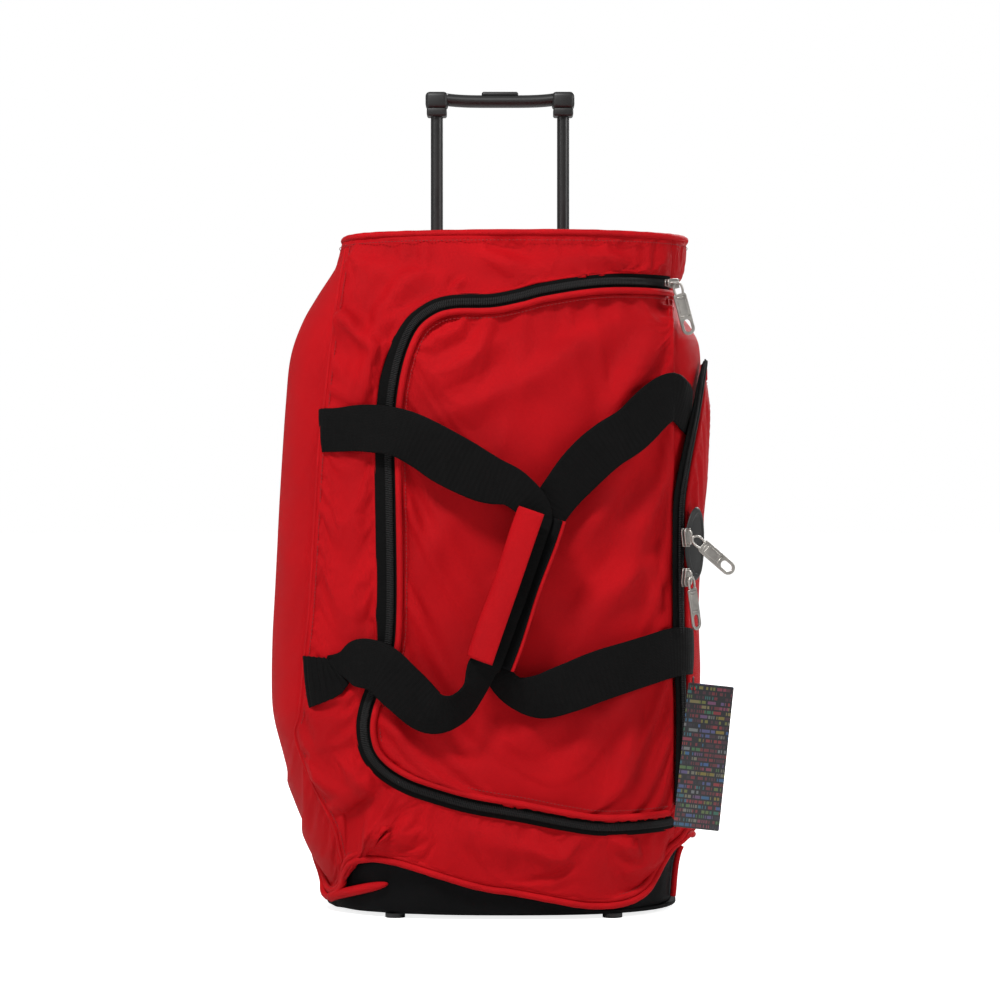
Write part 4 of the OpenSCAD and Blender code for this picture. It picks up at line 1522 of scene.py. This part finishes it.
@dataclass
class CarryHandles:
    """Both webbing loops and the red wrap that holds them together."""

    body: FabricBody
    repeater: Repeater
    stitch: bpy.types.Object
    thickness: float = 0.0019
    left: Sequence = ((-166, 440, -3, 40, 0), (-160, 441, 1.8, 40, 0), (-146, 441, 3, 40, 0),
                      (-120, 442, 9, 42, 0),
                      (-90, 438, 16, 43, 4), (-66, 427, 17, 46, 8), (-44, 413, 19, 48, 10),
                      (-13, 397, 21, 44, 6),
                      (12, 388, 22, 34, 0), (30, 368, 22, 28, 0), (26, 345, 22, 28, 0), (-8, 245, 22, 28, 0),
                      (-15, 229, 21, 28, -20), (-22, 209, 20, 27, -40), (-39, 192, 18, 33, -28),
                      (-61, 190, 17, 40, -8),
                      (-84, 210, 16, 44, 0), (-105, 229, 14, 45, 0), (-127, 233, 9, 42, 3),
                      (-142, 233, 4.5, 21, 3),
                      (-150, 235, 2.4, 9, 0), (-156, 236, 0.5, 5, 0))
    right: Sequence = ((180, 457, -3, 44, 0), (171, 461, 1.5, 44, 0), (163, 467, 4, 43, 0),
                       (153, 472, 6, 43, 0),
                       (137, 463, 9, 43, 0), (114, 441, 11, 43, 0), (91, 425, 11, 43, 0),
                       (70, 404, 10, 42, -6),
                       (52, 382, 9, 38, -8), (38, 360, 7, 34, 0), (28, 338, 5, 32, 0), (-2, 245, 5, 32, 0),
                       (-1, 222, 7, 28, 25), (12, 207, 9, 30, 25), (34, 203, 10, 40, 8),
                       (57, 210, 11, 44, 0),
                       (92, 223, 11, 45, 0), (142, 237, 7, 45, 0), (160, 240, 6.5, 44, 0),
                       (172, 239, 6, 42, 0),
                       (179, 237, 1, 40, 0))
    root: Sequence = ((-177, 213, -2.5, 47, 0), (-172, 214, 1.2, 46, 0), (-161, 216, 1.8, 41, 0),
                      (-150, 219, 1.8, 35, 0),
                      (-143, 224, 1.2, 26, 0))
    axis: Sequence = ((37, 366), (-9, 233))
    wrap_y: float = -0.1475

    def webbing(self, name: str, points: Sequence, turn: int) -> bpy.types.Object:
        """Makes a strip of webbing.

        Args:
            name: the piece's name.
            points: x, height, lift, width in millimetres and twist in degrees.
            turn: 1 if the line's inner side is its left, or -1.

        Returns:
            The strip.
        """
        line = even_line(smooth_line(points, 10), 170)
        flat = line[:, :2] * MM
        form = self.body.form
        step = 0.0006
        spot = form.on_front(flat[:, 0], flat[:, 1])
        right = form.on_front(flat[:, 0] + step, flat[:, 1]) - form.on_front(flat[:, 0] - step, flat[:, 1])
        up = form.on_front(flat[:, 0], flat[:, 1] + step) - form.on_front(flat[:, 0], flat[:, 1] - step)
        outward = unit_rows(np.cross(right, up))
        middle = spot + outward * line[:, 2:3] * MM
        run = tangents(middle)
        side = unit_rows(np.cross(run, outward)) * -turn
        twist = np.radians(line[:, 4])[:, None]
        side = unit_rows(side * np.cos(twist) + np.cross(run, side) * np.sin(twist))
        t = np.array([-1, -0.97, -0.9, -0.6, -0.3, 0, 0.3, 0.6, 0.9, 0.97, 1.0])
        dip = 0.0009 * (np.abs(t) ** 2)
        half = line[:, 3][:, None, None] * MM / 2
        out = unit_rows(np.cross(run, side)) * turn
        grid = middle[:, None] + side[:, None] * t[None, :, None] * half - out[:, None] * dip[None, :, None]
        ripple = 0.0005 * np.sin(np.linspace(0, 44, 170))[:, None] * np.sin(np.linspace(0, 3, 11))[None, :]
        grid = grid + grid_normals(grid) * ripple[..., None]
        piece = sheet(name, grid, self.thickness, 0.0004)
        self.body.finishes.dress(piece, Slot.WEBBING)
        return piece

    def build_wrap(self) -> None:
        """Makes the red wrap, open along its right side, with its black lining."""
        a, b = np.array(self.axis[0]) * MM, np.array(self.axis[1]) * MM
        along = (a - b) / np.linalg.norm(a - b)
        side = np.array([along[1], -along[0]])
        q = np.radians(np.linspace(-352, -84, 70))
        s = np.linspace(0, 1, 60)
        centre = b[None] + s[:, None] * (a - b)[None]
        wobble = 1 + 0.03 * np.sin(s * 9)[None, :] * np.cos(q * 2)[:, None]
        across = 0.0215 * np.cos(q)[:, None] * wobble
        out = 0.0112 * np.sin(q)[:, None] * wobble
        x = centre[None, :, 0] + across * side[0]
        z = centre[None, :, 1] + across * side[1]
        grid = np.stack([x, self.wrap_y + out, z], -1)
        fit = self.body.finishes.fit
        fit(sheet("handle_wrap_cloth", grid, 0.0016, 0.0006), Slot.RED, "handle_left", "handle_wrap")
        inner = grid - grid_normals(grid) * 0.0018
        fit(sheet("handle_wrap_lining", inner, 0.0012, 0.0004), Slot.BLACK, "handle_left")
        fit(tube("wrap_free_edge", grid[0][::-1], 0.0012, 8), Slot.PIPING, "handle_left")

    def build(self) -> None:
        """Makes both loops and the wrap."""
        left = self.webbing("left_webbing", self.left, 1)
        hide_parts("handle_left_strap", "strap_ends")
        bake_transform(left)
        root = self.webbing("left_webbing_root", self.root, -1)
        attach(root, "bag")
        right = self.webbing("right_webbing", self.right, 1)
        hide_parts("handle_right_strap")
        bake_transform(right)
        self.build_wrap()
        LOG.info("made the carry handles")


# ---------------------------------------------------------------- sliders and pullers


@dataclass
class SliderSet:
    """A zip slider with its bridge, and the puller that hangs on it."""

    finishes: Finishes
    turn: float = 50.0
    length: float = 0.049
    width: float = 0.0128

    def slider(self, name: str, node: str, spot: Vector, turned: Matrix) -> None:
        """Makes a slider body.

        Args:
            name: the piece's name.
            node: the part that it stands for, which names its body too.
            spot: its middle.
            turned: how it is turned on the bag.
        """
        w, h = 0.0048, 0.0085
        outline = np.array([(-w, h * 0.5), (-w * 0.8, h), (-w * 0.25, h * 0.92), (0, h * 0.72),
                            (w * 0.25, h * 0.92),
                            (w * 0.8, h), (w, h * 0.5), (w * 0.7, -h * 0.55), (w * 0.62, -h),
                            (-w * 0.62, -h),
                            (-w * 0.7, -h * 0.55)])
        stand = turned @ Matrix.Rotation(math.radians(90), 4, "X")
        top = flat_shape(name, [outline], 0.0016, 0.0004, Matrix.Translation((0, 0, 0.0016)))
        low = flat_shape(name + "_low", [outline], 0.0014, 0.0004, Matrix.Translation((0, 0, -0.0016)))
        arch = np.array([(0, -0.0062, 0.002), (0, -0.0058, 0.0046), (0, -0.0035, 0.0058),
                         (0, 0.0035, 0.0058),
                         (0, 0.0058, 0.0046), (0, 0.0062, 0.002)])
        bridge = tube(name + "_bridge", smooth_line(arch, 5), 0.0011, 8, (1, 0, 0))
        piece = join(name, [top, low, bridge])
        piece.data.transform(Matrix.Translation(spot) @ stand)
        self.finishes.fit(piece, Slot.NICKEL, node, node)

    def puller(self, name: str, node: str, pin: Vector, turned: Matrix) -> None:
        """Makes a puller: a ring, a plate with two ridges, and an open loop.

        Args:
            name: the piece's name.
            node: the part that it stands for, which names its body too.
            pin: where it hangs.
            turned: how it is turned.
        """
        l, w = self.length, self.width
        body = np.vstack([circle(w / 2, (0, -l + w / 2), 22, 180, 360),
                          circle(0.0022, (w / 2 - 0.0022, -0.0125), 8, 0, 90),
                          circle(0.0022, (-w / 2 + 0.0022, -0.0125), 8, 90, 180)])
        loop = np.vstack([circle(w / 2 - 0.0028, (0, -l + w / 2), 16, 180, 360),
                          circle(w / 2 - 0.0028, (0, -l + w / 2 + 0.0045), 16, 0, 180)])
        plate = flat_shape(name, [body, loop], 0.0019, 0.0005, Matrix.Identity(4))
        window = np.vstack([circle(0.0009, (0.0025, -0.0165), 6, 0, 90),
                            circle(0.0009, (-0.0025, -0.0165), 6, 90, 180),
                            circle(0.0009, (-0.0025, -0.0285), 6, 180, 270),
                            circle(0.0009, (0.0025, -0.0285), 6, 270, 360)])
        raised = flat_shape(name + "_raised", [window * np.array([1.25, 1.0])], 0.0028, 0.0005,
                            Matrix.Identity(4))
        ridges = [tube(f"{name}_ridge_{k}", np.array([(-0.0044, y, 0.001), (0.0044, y, 0.001)]), 0.0006, 8,
                       (0, 1, 0))
                  for k, y in enumerate((-0.0134, -0.0315))]
        ring_line = np.array([(-0.0032, -0.0118, 0), (-0.0042, -0.007, 0.0002), (-0.0034, -0.0022, 0.0004),
                              (0, 0.0006, 0.0006),
                              (0.0034, -0.0022, 0.0004), (0.0042, -0.007, 0.0002), (0.0032, -0.0118, 0)])
        ring = tube(name + "_ring", smooth_line(ring_line, 5), 0.00115, 8, (0, 0, 1))
        piece = join(name, [plate, raised, ring, *ridges])
        piece.data.transform(Matrix.Translation(pin) @ turned @ Matrix.Rotation(math.radians(90), 4, "X"))
        self.finishes.fit(piece, Slot.NICKEL, node, node)

    def build(self) -> None:
        """Makes the three sliders and pullers, each on its own part's place."""
        about = Matrix.Rotation(math.radians(self.turn), 4, "Z")
        joints = {j["child"]: Vector(j["pos_m"]) for j in frame["joints"] if "pos_m" in j}
        rows = (("main", 90.0, 16.0, 20.0), ("upper_pocket", 0.0, 50.0, 12.0),
                ("lower_pocket", 180.0, 12.0, 50.0))
        for name, lie, swing, face in rows:
            low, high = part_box(name + "_slider")
            self.slider(f"{name}_slider_body", f"{name}_slider", (low + high) / 2,
                        about @ Matrix.Rotation(math.radians(lie), 4, "Y"))
            facing = Matrix.Rotation(math.radians(face), 4, "Z")
            self.puller(f"{name}_pull_tab", f"{name}_puller", joints[f"{name}_puller"],
                        facing @ Matrix.Rotation(math.radians(-swing), 4, "Y"))
        LOG.info("made the sliders and pullers")


# ---------------------------------------------------------------- hard parts


def block(name: str, low: Sequence[float], high: Sequence[float], rounding: float) -> bpy.types.Object:
    """A moulded block with rounded edges.

    Args:
        name: the piece's name.
        low: its lowest corner.
        high: its highest corner.
        rounding: how round its edges are.

    Returns:
        The block.
    """
    low, high = np.array(low, float), np.array(high, float)
    corners = [(x, y, z) for z in (0, 1) for y in (0, 1) for x in (0, 1)]
    points = low + np.array(corners) * (high - low)
    faces = [(0, 2, 3, 1), (4, 5, 7, 6), (0, 1, 5, 4), (2, 6, 7, 3), (0, 4, 6, 2), (1, 3, 7, 5)]
    piece = new_mesh(name, points, faces)
    return round_edges(piece, rounding, 4)


@dataclass
class TrolleyHandle:
    """The grip and its button."""

    finishes: Finishes

    def build(self) -> None:
        """Makes the grip over its own parts' places."""
        low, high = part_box("grip_housing")
        tube_low, tube_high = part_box("inner_tube_right")
        tube_x = (tube_low.x + tube_high.x) / 2
        mid_y = (low.y + high.y) / 2
        block_half = high.x - tube_x
        pieces = []
        for side in (-1, 1):
            x = side * tube_x
            pieces.append(block(f"grip_end_{side}", (x - block_half, mid_y - 0.0115, high.z - 0.0165),
                                (x + block_half, mid_y + 0.0115, high.z), 0.0042))
            pieces.append(block(f"grip_skirt_{side}", (x - block_half + 0.0012, mid_y - 0.0103, low.z),
                                (x + block_half - 0.0012, mid_y + 0.0103, high.z - 0.0155), 0.0022))
        u = np.linspace(-1, 1, 60)
        line = np.column_stack([u * (tube_x - 0.006), np.full(60, mid_y),
                                high.z - 0.0062 - 0.0025 * (1 - u ** 4)])
        bar = tube("grip_bar", line, 0.0061, 24, (0, 1, 0))
        flat = np.zeros(len(bar.data.vertices) * 3)
        bar.data.vertices.foreach_get("co", flat)
        flat = flat.reshape(-1, 3)
        flat[:, 1] = mid_y + (flat[:, 1] - mid_y) * 1.65
        bar.data.vertices.foreach_set("co", flat.ravel())
        grip = join("grip_moulding", [*pieces, bar])
        self.finishes.fit(grip, Slot.HARD, "trolley", "grip_housing", "grip_cover")
        button_low, button_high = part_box("release_button")
        button = block("button_cap", button_low, button_high, 0.0022)
        self.finishes.fit(button, Slot.HARD, "release", "release_button")


@dataclass
class HangTag:
    """The printed card that hangs on its loop."""

    finishes: Finishes
    lean: float = 6.0
    width: float = 0.041
    height: float = 0.130

    def build(self) -> None:
        """Makes the card with its punched hole."""
        pivot = next(Vector(j["pos_m"]) for j in frame["joints"] if j["child"] == "hang_tag")
        corner = [circle(0.0012, (x, y), 6, a, a + 90) for x, y, a in (
            (self.width - 0.0062, 0.0038, 0), (-0.0038, 0.0038, 90), (-0.0038, -self.height + 0.0062, 180),
            (self.width - 0.0062, -self.height + 0.0062, 270))]
        card = flat_shape("printed_tag", [np.vstack(corner), circle(0.0019, (0, 0), 20)], 0.0008, 0.0001,
                          Matrix.Identity(4))
        co = np.array([v.co for v in card.data.vertices])
        loops = np.array([loop.vertex_index for loop in card.data.loops])
        layer = card.data.uv_layers.get("metres") or card.data.uv_layers.new(name="metres")
        layer.data.foreach_set("uv",
                               (co[loops,
                                   :2] + np.array([0.005, self.height - 0.005])).astype(np.float32).ravel())
        turn = Matrix.Rotation(math.radians(90), 4, "X") @ Matrix.Rotation(math.radians(-self.lean), 4, "Z")
        card.data.transform(Matrix.Translation(pivot) @ turn)
        self.finishes.fit(card, Slot.CARD, "hang_tag", "hang_tag")


# ---------------------------------------------------------------- studio


@dataclass
class Studio:
    """Pale floor, soft light and the camera."""

    camera_at: tuple[float, float, float] = (0.0, -2.725, 0.378)
    lens: float = 105.0
    fill: float = 0.36
    floor_half: float = 30.0

    def camera(self) -> None:
        """Sets the camera level before the bag."""
        data = bpy.data.cameras.new("camera")
        data.lens = self.lens
        data.sensor_width = 36.0
        camera = bpy.data.objects.new("camera", data)
        camera.location = self.camera_at
        camera.rotation_euler = (math.radians(90), 0, 0)
        bpy.context.scene.collection.objects.link(camera)
        bpy.context.scene.camera = camera

    def light(self, name: str, place: Sequence[float], aim: Sequence[float], size: float,
              power: float) -> None:
        """Adds a soft area light.

        Args:
            name: its name.
            place: where it stands.
            aim: what it points at.
            size: its width.
            power: its power in watts.
        """
        data = bpy.data.lights.new(name, "AREA")
        data.size = size
        data.energy = power
        lamp = bpy.data.objects.new(name, data)
        lamp.location = place
        lamp.rotation_euler = (Vector(aim) - Vector(place)).to_track_quat("-Z", "Y").to_euler()
        bpy.context.scene.collection.objects.link(lamp)

    def build(self) -> None:
        """Makes the floor, the world and the lights."""
        far = self.floor_half
        corners = np.array([(-far, -far, 0), (far, -far, 0), (far, far, 0), (-far, far, 0)])
        floor = new_mesh("floor", corners, [(0, 1, 2, 3)])
        n = Nodes("pale_floor")
        seen = n.add("LightPath").outputs["Is Camera Ray"]
        n.finish(Base_Color=(0.8, 0.8, 0.8, 1), Roughness=0.9, Specular_IOR_Level=0.0,
                 Emission_Color=(1, 1, 1, 1), Emission_Strength=n.math("MULTIPLY", seen, 0.82))
        floor.data.materials.append(n.material)
        world = bpy.data.worlds.new("studio")
        world.use_nodes = True
        tree = world.node_tree
        back = tree.nodes["Background"]
        ray = tree.nodes.new("ShaderNodeLightPath")
        level = tree.nodes.new("ShaderNodeMapRange")
        level.inputs["To Min"].default_value = self.fill
        level.inputs["To Max"].default_value = 1.0
        tree.links.new(ray.outputs["Is Camera Ray"], level.inputs[0])
        tree.links.new(level.outputs[0], back.inputs[1])
        back.inputs[0].default_value = (1, 1, 1, 1)
        bpy.context.scene.world = world
        bpy.context.scene.view_settings.view_transform = "Standard"
        self.light("key", (-0.8, -1.5, 2.4), (0, 0, 0.4), 0.5, 64)
        self.light("side", (2.4, -0.9, 1.3), (0, 0, 0.4), 0.6, 20)
        self.light("rear", (1.4, 2.6, 1.9), (0, 0.1, 0.35), 1.0, 70)
        self.light("low", (-2.2, -1.6, 0.7), (0, 0, 0.35), 0.8, 9)


CREASES = tuple(Crease(*row) for row in (
    (-192, 512, -120, 545, 9, 9, 5), (-150, 560, -100, 505, 8, 8, -4), (-128, 455, -112, 560, 9, 8, -6),
    (-115, 530, -60, 590, 10, 7, 8), (-150, 600, -60, 575, 13, 7), (-60, 606, 70, 586, 12, 6),
    (30, 598, 160, 600, 10, 5), (-46, 566, -30, 580, 4, 4), (-135, 420, -125, 300, 12, 5),
    (-155, 360, -118, 200, 10, 4), (-150, 150, -100, 95, 9, 8, 5), (-145, 70, -88, 118, 8, 8, -5),
    (-150, 62, -60, 82, 11, 9, 8), (-95, 84, 110, 48, 13, 8, 3), (20, 78, 70, 50, 8, 5),
    (96, 72, 150, 62, 8, 7, -3), (100, 40, 160, 58, 8, 5), (-60, 95, 20, 78, 8, 5),
    (-88, 498, 0, 556, 9, 7, 4), (-86, 470, 30, 535, 11, 7, 4), (-80, 440, 60, 500, 14, 6, 5),
    (0, 470, 140, 560, 18, 6, 6), (95, 430, 152, 545, 12, 7, 5), (120, 400, 140, 500, 10, 5),
    (60, 330, 110, 400, 16, 5), (110, 300, 150, 420, 12, 6), (-80, 300, -30, 390, 18, 5),
    (70, 270, 150, 330, 13, 6, 4), (90, 180, 120, 215, 12, 5), (60, 110, 90, 195, 13, 5, 5),
    (105, 100, 125, 200, 10, 5), (-90, 150, 20, 125, 14, 5, 4), (-110, 190, -70, 150, 10, 5),
    (-30, 140, 60, 185, 16, 5, 4), (140, 330, 152, 255, 8, 5), (-20, 600, 40, 575, 10, 5),
    (90, 610, 120, 580, 9, 4), (-175, 145, -150, 110, 8, 5), (0, 320, 60, 250, 18, 5),
))


def main() -> None:
    """Builds the bag in order."""
    logging.basicConfig(level=logging.INFO, format="%(name)s: %(message)s")
    studio = Studio()
    studio.camera()
    finishes = Finishes()
    finishes.dress_cad()
    repeater = Repeater()
    tooth = small_shape("tooth_form")
    form = BagForm(creases=CREASES)
    body = FabricBody(form, finishes, repeater, tooth)
    body.build()
    flap = Flap(body)
    flap.build()
    MainZip(body, flap, repeater, tooth).build()
    SidePocket(body, repeater, tooth).build()
    CarryHandles(body, repeater, tooth).build()
    SliderSet(finishes).build()
    TrolleyHandle(finishes).build()
    HangTag(finishes).build()
    studio.build()


if __name__ == "__main__":
    main()
